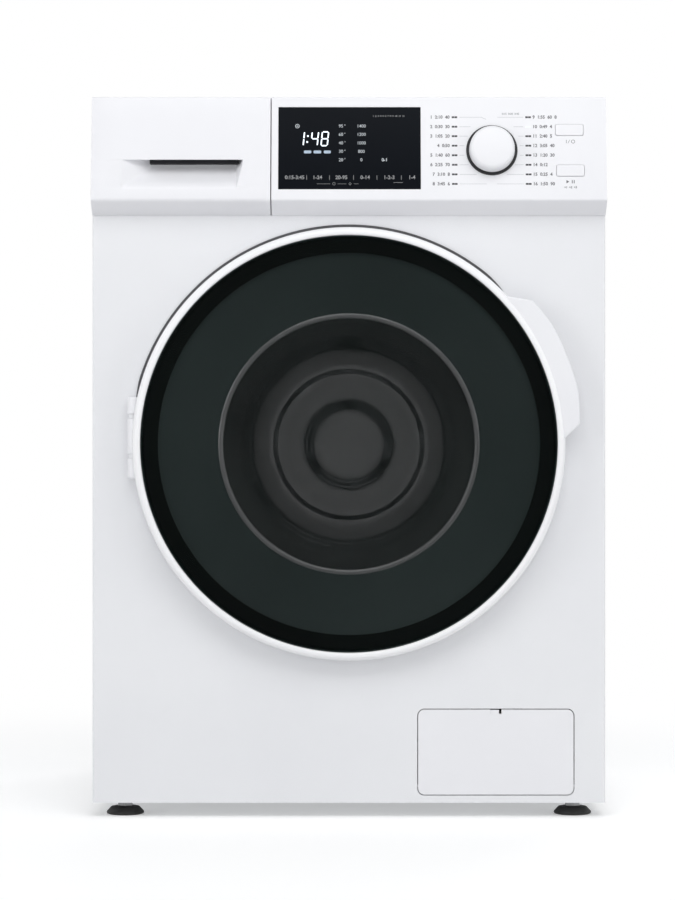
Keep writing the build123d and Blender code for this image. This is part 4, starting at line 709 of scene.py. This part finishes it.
def makeDrumWall():
    stepY = (drum["back"] - drum["front"]) / drum["along"]
    half = Vector((drum["radius"] * (2 * pi / drum["around"]) / 2, stepY / 2, 0))
    tile = holedTile(half)
    for offset, count in (((2 * half.x, 0, 0), drum["around"]), ((0, 2 * half.y, 0), drum["along"])):
        modify(tile, "ARRAY", use_relative_offset=False, use_constant_offset=True,
               constant_offset_displace=offset, count=count)
    mend(tile)
    for point in tile.data.vertices:          # rolled up, with the corners of the tiles pressed inwards
        turn = point.co.x / drum["radius"]
        column = (point.co.x + half.x) / (2 * half.x)
        row = (point.co.y + half.y) / (2 * half.y)
        corner = max(abs(column - round(column)), abs(row - round(row))) < drum["near"]
        radius = drum["radius"] - (drum["pillow"] if corner else 0)
        point.co = (radius * cos(turn), drum["front"] + half.y + point.co.y, axleZ + radius * sin(turn))
    mend(tile)
    thickened(tile, drum["sheet"], 1.0)
    outward = 0
    for face in tile.data.polygons:
        arm = Vector((face.center.x, 0, face.center.z - axleZ))
        outward += face.normal.dot(arm) * (arm.length - drum["radius"] - drum["sheet"] / 4)
    if outward < 0:
        flip(tile)
    smooth(tile, 40)
    keep(tile, "drum", mats["stainless"], ("drum_shell",))


makeDrumWall()

# Coil springs that hang the tub, in metres
spring = {"wire": 0.0021, "wireSides": 8, "coil": 0.0115, "turns": 19, "steps": 16, "low": 0.6043,
          "high": 0.7697, "places": ((-0.25, 0.02), (0.25, 0.02))}


def makeSprings():
    coils = []
    for x, y in spring["places"]:
        bpy.ops.mesh.primitive_circle_add(vertices=spring["wireSides"], radius=spring["wire"],
                                          rotation=(pi / 2, 0, 0), location=(spring["coil"], 0, 0))
        coil = bpy.context.object
        settle(coil)
        rise = spring["high"] - spring["low"] - 2 * spring["wire"]
        modify(coil, "SCREW", axis="Z", angle=2 * pi, iterations=spring["turns"], steps=spring["steps"],
               render_steps=spring["steps"], screw_offset=rise / spring["turns"])
        coil.location = (x, y, spring["low"] + spring["wire"])
        editAll(coil)
        bpy.ops.mesh.remove_doubles(threshold=fineWeld)
        bpy.ops.mesh.select_all(action="DESELECT")
        bpy.ops.mesh.select_non_manifold()
        bpy.ops.mesh.edge_face_add()          # closes the two ends of the wire
        bpy.ops.mesh.select_all(action="SELECT")
        bpy.ops.mesh.normals_make_consistent(inside=False)
        endEdit()
        coils.append(coil)
    pair = joined("tubSprings", coils)
    smooth(pair, 60)
    keep(pair, None, mats["steel"], ("suspension_springs",))
    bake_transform(pair)


makeSprings()

# Bellows hoses between the fixed parts and the tub, with a plain cuff at each end
bellows = {"cuff": 12.0, "shoulder": 1.0, "wall": 0.9, "foldSteps": 8, "steps": 48}
hoses = {
    "inletBellows": {"node": "dispenser_hose", "place": (-180.0, -60.0), "low": 644.0, "high": 707.0,
                     "inner": 14.3, "outer": 17.3, "folds": 9, "bodies": ("tub", "cabinet")},
    "sumpBellows": {"node": "sump_hose", "place": (170.0, -180.0), "low": 117.0, "high": 204.0,
                    "inner": 20.3, "outer": 23.3, "folds": 11, "bodies": ("cabinet", "tub")},
}


def makeHose(name, hose):
    low, high, inner, outer = hose["low"], hose["high"], hose["inner"], hose["outer"]
    cuff, shoulder, waist = bellows["cuff"], bellows["shoulder"], hose["inner"] + bellows["wall"]
    section = [(outer, low), (outer, low + cuff)]
    for t in arc(1, hose["folds"] * bellows["foldSteps"]):
        swell = (1 + cos(2 * pi * hose["folds"] * t)) / 2
        section.append((waist + (outer - waist) * swell,
                        low + cuff + shoulder + (high - low - 2 * cuff - 2 * shoulder) * t))
    section += [(outer, high - cuff), (outer, high), (inner, high), (inner, low)]
    x, y = [part / 1000 for part in hose["place"]]
    tube = spinPiece(name, section, bellows["steps"], Vector((x, y, 0)), (0, 0, 1), 50)
    keep(tube, None, mats["blackRubber"], (hose["node"],))
    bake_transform(tube)


for hoseName, hose in hoses.items():
    makeHose(hoseName, hose)
print("drum wall, springs and hoses ready")

# The leaning face of the fascia, and the programme knob on it: a shallow dome with a rounded edge
face = {"topY": -274.0, "topZ": 835.0, "drop": 20.0, "tall": 121.5, "normal": (0, -0.98671, 0.16243)}
knob = {"place": (165.0, 771.9), "radius": 26.4, "draft": 0.6, "rise": 17.0, "edge": 5.0, "edgeSteps": 8,
        "under": 2.5, "crown": 0.8, "crownAt": (1, 0.85, 0.7, 0.5, 0.3, 0.15), "wall": 2.4, "boss": 7.5,
        "bossEnd": 8.0, "ceiling": 11.0, "slant": 3.0, "steps": 96}


def faceY(z):
    return face["topY"] - (face["topZ"] - z) * face["drop"] / face["tall"]


def onFace(x, z, lift=0.0):
    return (Vector((x, faceY(z), z)) + Vector(face["normal"]) * lift) / 1000


def makeKnob():
    side, rise, edge = knob["radius"] - knob["draft"], knob["rise"], knob["edge"]
    flat, inside, top = side - edge, knob["radius"] - knob["wall"], rise + knob["crown"]
    section = [(knob["radius"], knob["under"]), (side, rise - edge)]
    turns = arc(pi / 2, knob["edgeSteps"])[1:-1]
    section += [(flat + edge * cos(a), rise - edge * (1 - sin(a))) for a in turns]
    section += [(flat * t, rise + knob["crown"] * (1 - t * t)) for t in knob["crownAt"]]
    section += [(core, top), (core, knob["bossEnd"]), (knob["boss"], knob["bossEnd"])]
    section += [(knob["boss"], knob["ceiling"]), (inside - knob["slant"], knob["ceiling"]),
                (inside, knob["bossEnd"]), (inside, knob["under"])]
    cap = spinPiece("knobCap", section, knob["steps"], onFace(*knob["place"]), face["normal"], 40)
    keep(cap, "knob", mats["moulding"], ("program_knob",))


makeKnob()
print("knob ready")

# Marks printed on the leaning face: flat shapes laid out as seen from the front
ink = {"lift": 0.02, "thick": 0.03, "lampThick": 0.06, "bold": 0.03, "letterSteps": 3}


def bar(x0, z0, x1, z1):
    bpy.ops.mesh.primitive_plane_add(size=1, location=((x0 + x1) / 2000, 0, (z0 + z1) / 2000),
                                     rotation=(pi / 2, 0, 0))
    plate = bpy.context.object
    plate.scale = (abs(x1 - x0) / 1000, abs(z1 - z0) / 1000, 1)
    return plate


def shape(spots):
    return newMesh("shape", [(x / 1000, 0, z / 1000) for x, z in spots], faces=[range(len(spots))])


def stroke(start, end, wide):
    along = Vector([b - a for a, b in zip(start, end)]).normalized()
    side = Vector((along.y, -along.x)) * wide / 2
    start, end = Vector(start), Vector(end)
    return shape([start + side, end + side, end - side, start - side])


def hoop(x, z, radius, wide, sides=20):
    bpy.ops.mesh.primitive_circle_add(vertices=sides, radius=radius / 1000, fill_type="NGON",
                                      location=(x / 1000, 0, z / 1000), rotation=(pi / 2, 0, 0))
    ringMark = bpy.context.object
    editAll(ringMark)
    bpy.ops.mesh.inset(thickness=wide / 1000, depth=0)
    bpy.ops.mesh.delete(type="FACE")
    endEdit()
    return ringMark


def words(body, x, z, size, align="CENTER", bold=ink["bold"]):
    bpy.ops.object.text_add(location=(x / 1000, 0, z / 1000), rotation=(pi / 2, 0, 0))
    label = bpy.context.object
    label.data.body = body
    label.data.size = size / 1000
    label.data.align_x = align
    label.data.align_y = "CENTER"
    label.data.resolution_u = ink["letterSteps"]
    label.data.offset = bold * size / 1000
    work(label)
    bpy.ops.object.convert(target="MESH")
    return bpy.context.object


def layOnFace(name, pieces, mat, thick=ink["thick"], lift=ink["lift"]):
    for piece in pieces:
        settle(piece)
    marks = joined(name, pieces)
    for point in marks.data.vertices:
        point.co = onFace(point.co.x * 1000, point.co.z * 1000, lift)
    thickened(marks, thick / 1000, 1.0)
    keep(marks, "cabinet", mat)


# Programme marks round the knob: numbers with their times, two small lamps to each row, fine leader lines
dial = {
    "rows": (810.9, 799.7, 788.6, 777.4, 766.2, 755.0, 743.8, 732.6),
    "left": {"lamps": (118.9, 125.2), "text": 116.4, "align": "RIGHT", "lineFrom": 127.6,
             "lineTo": (153.2, 140.4, 137.4, 133.4, 133.4, 138.1, 147.4, 159.0),
             "names": ("1  2:10  40", "2  0:30  30", "3  1:05  20", "4  0:50", "5  1:40  60", "6  2:25  70",
                       "7  3:10  8", "8  3:45  6")},
    "right": {"lamps": (203.9, 210.5), "text": 212.3, "align": "LEFT", "lineFrom": 201.6,
              "lineTo": (171.7, 190.2, 195.6, 197.2, 197.2, 191.4, 182.1, 170.5),
              "names": ("9  1:55  60  8", "10  0:49  4", "11  2:40  5", "12  3:05  40", "13  1:20  30",
                        "14  0:12", "15  0:25  4", "16  1:50  90")},
    "lampTall": 2.1, "lampGap": 0.3, "lit": ("right", 1), "textSize": 5.2, "lineWide": 0.36,
    "firstBend": ((153.2, 810.9), (158.6, 808.3)), "small": ("0:15  0:30  0:45", 187.0, 814.8, 3.2),
}


def makeDialMarks():
    lit, dark, lines, names = [], [], [], []
    tall, gap = dial["lampTall"] / 2, dial["lampGap"] / 2
    for row, z in enumerate(dial["rows"]):
        for hand in ("left", "right"):
            side = dial[hand]
            low, high = side["lamps"]
            middle = (low + high) / 2
            pair = [bar(low, z - tall, middle - gap, z + tall), bar(middle + gap, z - tall, high, z + tall)]
            (lit if (hand, row) == dial["lit"] else dark).extend(pair)
            ends = sorted((side["lineFrom"], side["lineTo"][row]))
            lines.append(stroke((ends[0], z), (ends[1], z), dial["lineWide"]))
            names.append(words(side["names"][row], side["text"], z, dial["textSize"], side["align"]))
    lines.append(stroke(*dial["firstBend"], dial["lineWide"]))
    layOnFace("programmeLamps", dark, mats["lampDark"], ink["lampThick"])
    layOnFace("programmeLampLit", lit, mats["lampLit"], ink["lampThick"])
    layOnFace("leaderLines", lines, mats["palePrint"])
    layOnFace("programmeNumbers", names, mats["print"])
    layOnFace("smallNumber", [words(*dial["small"])], mats["palePrint"])


makeDialMarks()

# Marks under the two keys
keyMarks = {"upright": (250.9, 780.3, 251.45, 784.3), "slash": ((252.9, 780.2), (255.1, 784.4), 0.44),
            "ring": (258.9, 782.3, 2.2, 0.55), "arrow": ((250.7, 737.2), (250.7, 733.2), (254.1, 735.2)),
            "pause": ((256.9, 733.3, 257.9, 737.1), (259.1, 733.3, 260.1, 737.1)),
            "plus": ("+1  +2  +3", 255.5, 728.6, 3.4)}


def makeKeyMarks():
    pieces = [bar(*keyMarks["upright"]), stroke(*keyMarks["slash"]), hoop(*keyMarks["ring"])]
    pieces += [shape(keyMarks["arrow"])] + [bar(*corners) for corners in keyMarks["pause"]]
    layOnFace("keyMarks", pieces + [words(*keyMarks["plus"])], mats["print"])


makeKeyMarks()

# Contents of the display: slanted time, three pills, two columns of numbers, a row of touch marks
display = {
    "lift": 0.62, "thick": 0.05, "bold": 0.005,
    "time": {"x": -53.6, "z": 776.6, "tall": 17.6, "wide": 8.6, "bar": 1.4, "gap": 0.35, "slant": 0.1,
             "digits": (("1", -7.2), ("4", 9.0), ("8", 20.6)), "colonX": 5.0, "colonAt": (5.0, 12.0),
             "dot": 0.9},
    "pills": ((-52.0, -43.4), (-40.8, -32.0), (-29.0, -20.9)), "pillZ": (768.2, 771.6), "pillCut": 0.8,
    "rows": (800.2, 790.4, 780.3, 770.4, 760.5), "textSize": 5.2,
    "warm": ("95", "60", "40", "30", "20"), "warmX": -9.2, "degree": (4.6, 1.5, 0.6, 0.22, 10),
    "turns": ("1400", "1200", "1000", "800", "0"), "turnsX": 14.4, "single": ("0-1", 41.2, 760.5),
    "icon": ((-59.5, 800.2, 2.5, 0.6), (-59.5, 800.2, 1.0, 0.4, 12)),
    "touch": (("0:15-3:45", -62.5), ("1-24", -36.3), ("20-95", -8.6), ("0-14", 18.7), ("1-2-3", 46.4),
              ("1-4", 72.6)),
    "touchZ": 739.9, "touchSize": 6.0, "splits": (-48.7, -22.4, 5.3, 32.3, 60.4), "splitWide": 0.5,
    "splitTall": 5.2, "tiny": ("1  2  3  4  5  6  7  8  9  10  11  12", 45.9, 812.0, 2.7),
    "lowBars": ((51.4, 733.9, 62.0, 734.3), (-37.0, 732.4, -21.5, 732.7), (-13.0, 732.4, -3.0, 732.7),
                (5.5, 732.4, 11.0, 732.7)),
    "lowHoops": ((-17.3, 732.6, 1.7, 0.35, 12), (1.3, 732.6, 1.7, 0.35, 4)),
}
segments = {"1": "bc", "4": "bcfg", "8": "abcdefg"}


def digit(character, x, z):
    clock = display["time"]
    tall, wide, gap, half = clock["tall"], clock["wide"], clock["gap"], clock["bar"] / 2
    left, right, middle = half, wide - half, tall / 2
    across = {"a": tall - half, "g": middle, "d": half}
    upright = {"f": (left, middle, tall - half), "b": (right, middle, tall - half), "e": (left, half, middle),
               "c": (right, half, middle)}
    bars = []
    for name in segments[character]:
        place, low, high = upright.get(name) or (across[name], left, right)
        low, high = low + gap, high - gap
        outline = [(low, 0), (low + half, half), (high - half, half), (high, 0), (high - half, -half),
                   (low + half, -half)]
        if name in across:
            outline = [(along, place - side) for along, side in outline]
        else:
            outline = [(place + side, along) for along, side in outline]
        bars.append(shape([(x + u + clock["slant"] * h, z + h) for u, h in outline]))
    return bars


def makeDisplay():
    clock, size, bold = display["time"], display["textSize"], display["bold"]
    bright = []
    for character, place in clock["digits"]:
        bright += digit(character, clock["x"] + place, clock["z"])
    for h in clock["colonAt"]:
        x, z, dot = clock["x"] + clock["colonX"] + clock["slant"] * h, clock["z"] + h, clock["dot"]
        bright.append(bar(x - dot, z - dot, x + dot, z + dot))

    pills, cut = [], display["pillCut"]
    low, high = display["pillZ"]
    for left, right in display["pills"]:
        pills.append(shape([(left + cut, low), (right - cut, low), (right, low + cut), (right, high - cut),
                            (right - cut, high), (left + cut, high), (left, high - cut), (left, low + cut)]))

    pale = []
    along, up, *ring = display["degree"]
    for warm, turns, z in zip(display["warm"], display["turns"], display["rows"]):
        pale.append(words(warm, display["warmX"], z, size, bold=bold))
        pale.append(hoop(display["warmX"] + along, z + up, *ring))
        pale.append(words(turns, display["turnsX"], z, size, bold=bold))
    pale += [words(*display["single"], size)] + [hoop(*ring) for ring in display["icon"]]

    soft = [words(body, x, display["touchZ"], display["touchSize"]) for body, x in display["touch"]]
    wide, tall, z = display["splitWide"] / 2, display["splitTall"] / 2, display["touchZ"]
    soft += [bar(x - wide, z - tall, x + wide, z + tall) for x in display["splits"]]
    soft += [words(*display["tiny"])] + [bar(*corners) for corners in display["lowBars"]]
    soft += [hoop(*ring) for ring in display["lowHoops"]]

    for name, pieces, finishName in (("timeDigits", bright, "digits"), ("dryPills", pills, "pill"),
                                     ("displayNumbers", pale, "legend"), ("touchMarks", soft, "touchPrint")):
        layOnFace(name, pieces, mats[finishName], display["thick"], display["lift"])


makeDisplay()
print("marks on the fascia and display ready")

# Drawer front: follows the fascia's profile, with a scooped grip that fades out downwards
drawer = {"left": -297.5, "right": -90.6, "back": -262.3, "lipY": -294.0, "lipZ": 713.5, "footY": -272.0,
          "footZ": 698.0, "lipRound": 3.2, "lipSteps": 6, "topRound": 2.6, "topSteps": 5, "sideRound": 0.45,
          "sideSteps": 3, "backClear": 0.1,
          "scoopLeft": (-261.0, -263.0), "scoopRight": (-121.6, -130.5), "roof": 761.1, "wall": 755.5,
          "floor": 725.5, "below": 720.0, "above": (757.5, 759.3, 761.05, 761.1, 764.0, 785.0, 810.0),
          "depth": 17.0, "ramp": 31.0, "end": 7.0, "soft": 1.2, "columns": 72, "rows": 40}


def bend(a, b, c, count):
    return [tuple((1 - t) ** 2 * p + 2 * t * (1 - t) * q + t * t * r for p, q, r in zip(a, b, c))
            for t in arc(1, count)]


def alongSlope(a, b, reach):
    long = sqrt((b[0] - a[0]) ** 2 + (b[1] - a[1]) ** 2)
    return tuple(p + (q - p) * reach / long for p, q in zip(a, b))


def drawerProfile():
    foot, lip = (drawer["footY"], drawer["footZ"]), (drawer["lipY"], drawer["lipZ"])
    top, rear = (face["topY"], face["topZ"]), (drawer["back"], face["topZ"])
    reach, steps = drawer["lipRound"], drawer["lipSteps"]
    profile = [foot] + bend(alongSlope(lip, foot, reach), lip, alongSlope(lip, top, reach), steps)
    scoop = [drawer["floor"] + part for part in arc(drawer["wall"] - drawer["floor"], drawer["rows"])]
    profile += [(faceY(z), z) for z in (drawer["below"], *scoop, *drawer["above"])]
    reach, steps = drawer["topRound"], drawer["topSteps"]
    return profile + bend(alongSlope(top, lip, reach), top, alongSlope(top, rear, reach), steps) + [rear]


def scoopDepth(x, z, left, right):
    if z >= drawer["roof"] or z <= drawer["floor"] or x <= left or x >= right:
        return 0
    fall = min(1, (z - drawer["floor"]) / (drawer["wall"] - drawer["floor"]))
    sunk = drawer["depth"] * fall * fall * (3 - 2 * fall)
    ramp = drawer["depth"] * (x - left) / drawer["ramp"]
    end = drawer["depth"] * (right - x) / drawer["end"]
    soft = drawer["soft"]                     # rounds the corners where the slopes meet
    for other in (ramp, end):
        mix = within(0.5 + 0.5 * (other - sunk) / soft)
        sunk = other * (1 - mix) + sunk * mix - soft * mix * (1 - mix)
    return max(0, sunk)


def makeDrawerFront():
    rows = []
    for y, z in drawerProfile():
        share = within((drawer["roof"] - z) / (drawer["roof"] - drawer["floor"]))
        left, right = [top + (low - top) * share for top, low in (drawer["scoopLeft"], drawer["scoopRight"])]
        spread = [(1 - cos(a)) / 2 for a in arc(pi, drawer["columns"])]
        columns = [drawer["left"]] + [left + (right - left) * u for u in spread] + [drawer["right"]]
        rows.append([(x, y + scoopDepth(x, z, left, right), z) for x in columns])
    wide, count = len(rows[0]), len(rows)
    points = [spot for row in rows for spot in row]
    base, last = len(points), (count - 1) * wide
    points += [(x, drawer["back"], drawer["footZ"]) for x in (drawer["left"], drawer["right"])]
    faces = [(j * wide + i, j * wide + i + 1, (j + 1) * wide + i + 1, (j + 1) * wide + i)
             for j in range(count - 1) for i in range(wide - 1)]
    faces.append([base] + [j * wide for j in range(count)])
    faces.append([base + 1] + [j * wide + wide - 1 for j in reversed(range(count))])
    faces.append([base, base + 1] + [i for i in reversed(range(wide))])
    faces.append([base + 1, base] + [last + i for i in range(wide)])
    front = newMesh("drawerFace", [[part / 1000 for part in spot] for spot in points], faces=faces)
    mend(front, fineWeld)
    work(front)
    bpy.ops.object.mode_set(mode="EDIT")
    mesh = bmesh.from_edit_mesh(front.data)
    for edge in mesh.edges:                   # the outline of both ends is rounded, apart from the back
        a, b = [corner.co for corner in edge.verts]
        atEnd = any(max(abs(a.x - x / 1000), abs(b.x - x / 1000)) < fineWeld
                    for x in (drawer["left"], drawer["right"]))
        edge.select = atEnd and min(a.y, b.y) < (drawer["back"] - drawer["backClear"]) / 1000
    bmesh.update_edit_mesh(front.data)
    bpy.ops.mesh.bevel(offset=drawer["sideRound"] / 1000, segments=drawer["sideSteps"])
    endEdit()
    smooth(front, 38)
    keep(front, "drawer", mats["moulding"], ("drawer_front",))


makeDrawerFront()
print("drawer front ready")

# Side panels: sheet with a shallow pressed field, front and rear flanges, and the hanger of a suspension
# spring. The slabs are given for the right side
sidePanel = {"out": 297.5, "sheet": 1.2, "front": -255.5, "back": 283.8, "low": 17.0, "high": 813.0,
             "field": (-190.0, 215.0, 90.0, 740.0), "corner": 34.0, "slope": 9.0, "sunk": 1.8, "across": 64,
             "up": 90, "edge": 0.5,
             "flanges": (((297.4, -255.5, 17.0), (279.5, -254.3, 698.0)),
                         ((297.4, 282.6, 17.0), (279.5, 283.8, 813.0))),
             "hanger": (((296.3, 8.0, 769.9), (236.0, 32.0, 773.0)),
                        ((296.3, 0.0, 720.0), (293.4, 40.0, 770.0)))}


def pressedDepth(y, z):
    front, back, low, high = sidePanel["field"]
    middle = ((front + back) / 2, (low + high) / 2)
    half = ((back - front) / 2 - sidePanel["corner"], (high - low) / 2 - sidePanel["corner"])
    over = [max(0, abs(p - m) - h) for p, m, h in zip((y, z), middle, half)]
    inside = sidePanel["corner"] - sqrt(over[0] ** 2 + over[1] ** 2)
    share = within(inside / sidePanel["slope"])
    return sidePanel["sunk"] * share * share * (3 - 2 * share)


def makeSidePanel(name, hand, node):
    long, rise = sidePanel["back"] - sidePanel["front"], sidePanel["high"] - sidePanel["low"]
    middle = (sidePanel["front"] + sidePanel["back"]) / 2, (sidePanel["low"] + sidePanel["high"]) / 2
    bpy.ops.mesh.primitive_grid_add(x_subdivisions=sidePanel["across"], y_subdivisions=sidePanel["up"],
                                    size=1)
    sheet = bpy.context.object
    sheet.name = name
    for point in sheet.data.vertices:
        y, z = middle[0] + point.co.x * long, middle[1] + point.co.y * rise
        point.co = (hand * (sidePanel["out"] - pressedDepth(y, z)) / 1000, y / 1000, z / 1000)
    mend(sheet)
    if hand * sum(side.normal.x for side in sheet.data.polygons) < 0:
        flip(sheet)
    thickened(sheet, sidePanel["sheet"] / 1000, -1.0)
    parts = [slab(*[(hand * x, y, z) for x, y, z in corners])
             for corners in sidePanel["flanges"] + sidePanel["hanger"]]
    for part in parts:
        bevelled(part, sidePanel["edge"])
    whole = joined(name, [sheet] + parts)
    smooth(whole, 30)
    keep(whole, "cabinet", mats["enamel"], (node,))


makeSidePanel("leftSide", -1, "side_panel_left")
makeSidePanel("rightSide", 1, "side_panel_right")
print("side panels ready")

# Levelling feet: rubber pad, threaded stem and lock nut
foot = {"places": ((-262, -232), (262, -232), (-262, 250), (262, 250)),
        "pad": ((core, 0.3), (16.0, 0.3), (17.0, 0.0), (19.5, 0.0), (21.4, 0.7), (22.0, 2.0), (21.6, 3.4),
                (17.8, 7.4), (16.6, 8.6), (14.8, 9.0), (core, 9.0)),
        "padTop": 9.0, "padSteps": 48, "stem": 5.0, "stemSteps": 24, "top": 41.0, "topRound": 1.2,
        "thread": 0.55, "pitch": 1.5, "crest": (0.35, 0.5), "valley": 0.9,
        "nut": 9.5, "nutLow": 9.0, "nutHigh": 17.0, "nutEdge": 0.9}


def stemSection():
    root, low, pitch = foot["stem"] - foot["thread"], foot["padTop"], foot["pitch"]
    section = [(core, low), (root, low)]
    for i in range(int((foot["top"] - low) / pitch)):
        z = low + pitch * i
        section += [(foot["stem"], z + pitch * part) for part in foot["crest"]]
        section.append((root, z + pitch * foot["valley"]))
    return section + [(foot["stem"] - foot["topRound"], foot["top"]), (core, foot["top"])]


def makeFeet():
    pads, metals = [], []
    for x, y in foot["places"]:
        spot = Vector((x / 1000, y / 1000, 0))
        pads.append(spinPiece("pad", foot["pad"], foot["padSteps"], spot, (0, 0, 1), 40))
        metals.append(spinPiece("stem", stemSection(), foot["stemSteps"], spot, (0, 0, 1), 60))
        bpy.ops.mesh.primitive_cylinder_add(
            vertices=6, radius=foot["nut"] / 1000, depth=(foot["nutHigh"] - foot["nutLow"]) / 1000,
            location=(x / 1000, y / 1000, (foot["nutLow"] + foot["nutHigh"]) / 2000))
        nut = bpy.context.object
        settle(nut)
        bevelled(nut, foot["nutEdge"])
        metals.append(nut)
    keep(joined("footPads", pads), "cabinet", mats["blackRubber"], ("levelling_feet",))
    keep(joined("footStems", metals), "cabinet", mats["footSteel"], ("levelling_feet",))


makeFeet()

# Back plate of the drum, whose pressed rings are given as (radius, depth)
backPlate = {"front": 168.8, "back": 170.0, "radius": 239.9, "ringSteps": 5, "steps": 128,
             "rings": ((0, 5.0), (46, 5.0), (58, 0.0), (92, 0.0), (100, 3.5), (128, 3.5), (136, 0.0),
                       (176, 0.0), (184, 3.0), (206, 3.0), (214, 0.0), (232, 0.0))}


def makeBackPlate():
    line = []
    for (r0, d0), (r1, d1) in zip(backPlate["rings"], backPlate["rings"][1:]):
        line += [(r0 + (r1 - r0) * t, eased(d0, d1, t)) for t in arc(1, backPlate["ringSteps"])[:-1]]
    line += [backPlate["rings"][-1], (backPlate["radius"], 0)]
    line[0] = (core, line[0][1])
    section = [(r, backPlate["front"] - d) for r, d in line]
    section += [(r, backPlate["back"] - d) for r, d in reversed(line)]
    plate = spinPiece("drumBack", section, backPlate["steps"], angle=50)
    keep(plate, "drum", mats["stainless"], ("drum_back_plate",))


makeBackPlate()
print("feet and drum back ready")

# Pale plate behind the finger notch of the filter flap
notch = {"low": (163.8, -269.0, 118.0), "high": (174.2, -267.6, 124.7), "edge": 0.4}


def makeNotchPlate():
    plate = slab(notch["low"], notch["high"], "notchPlate")
    bevelled(plate, notch["edge"])
    smooth(plate, 40)
    keep(plate, "flap", mats["moulding"])


makeNotchPlate()
print("notch plate ready")
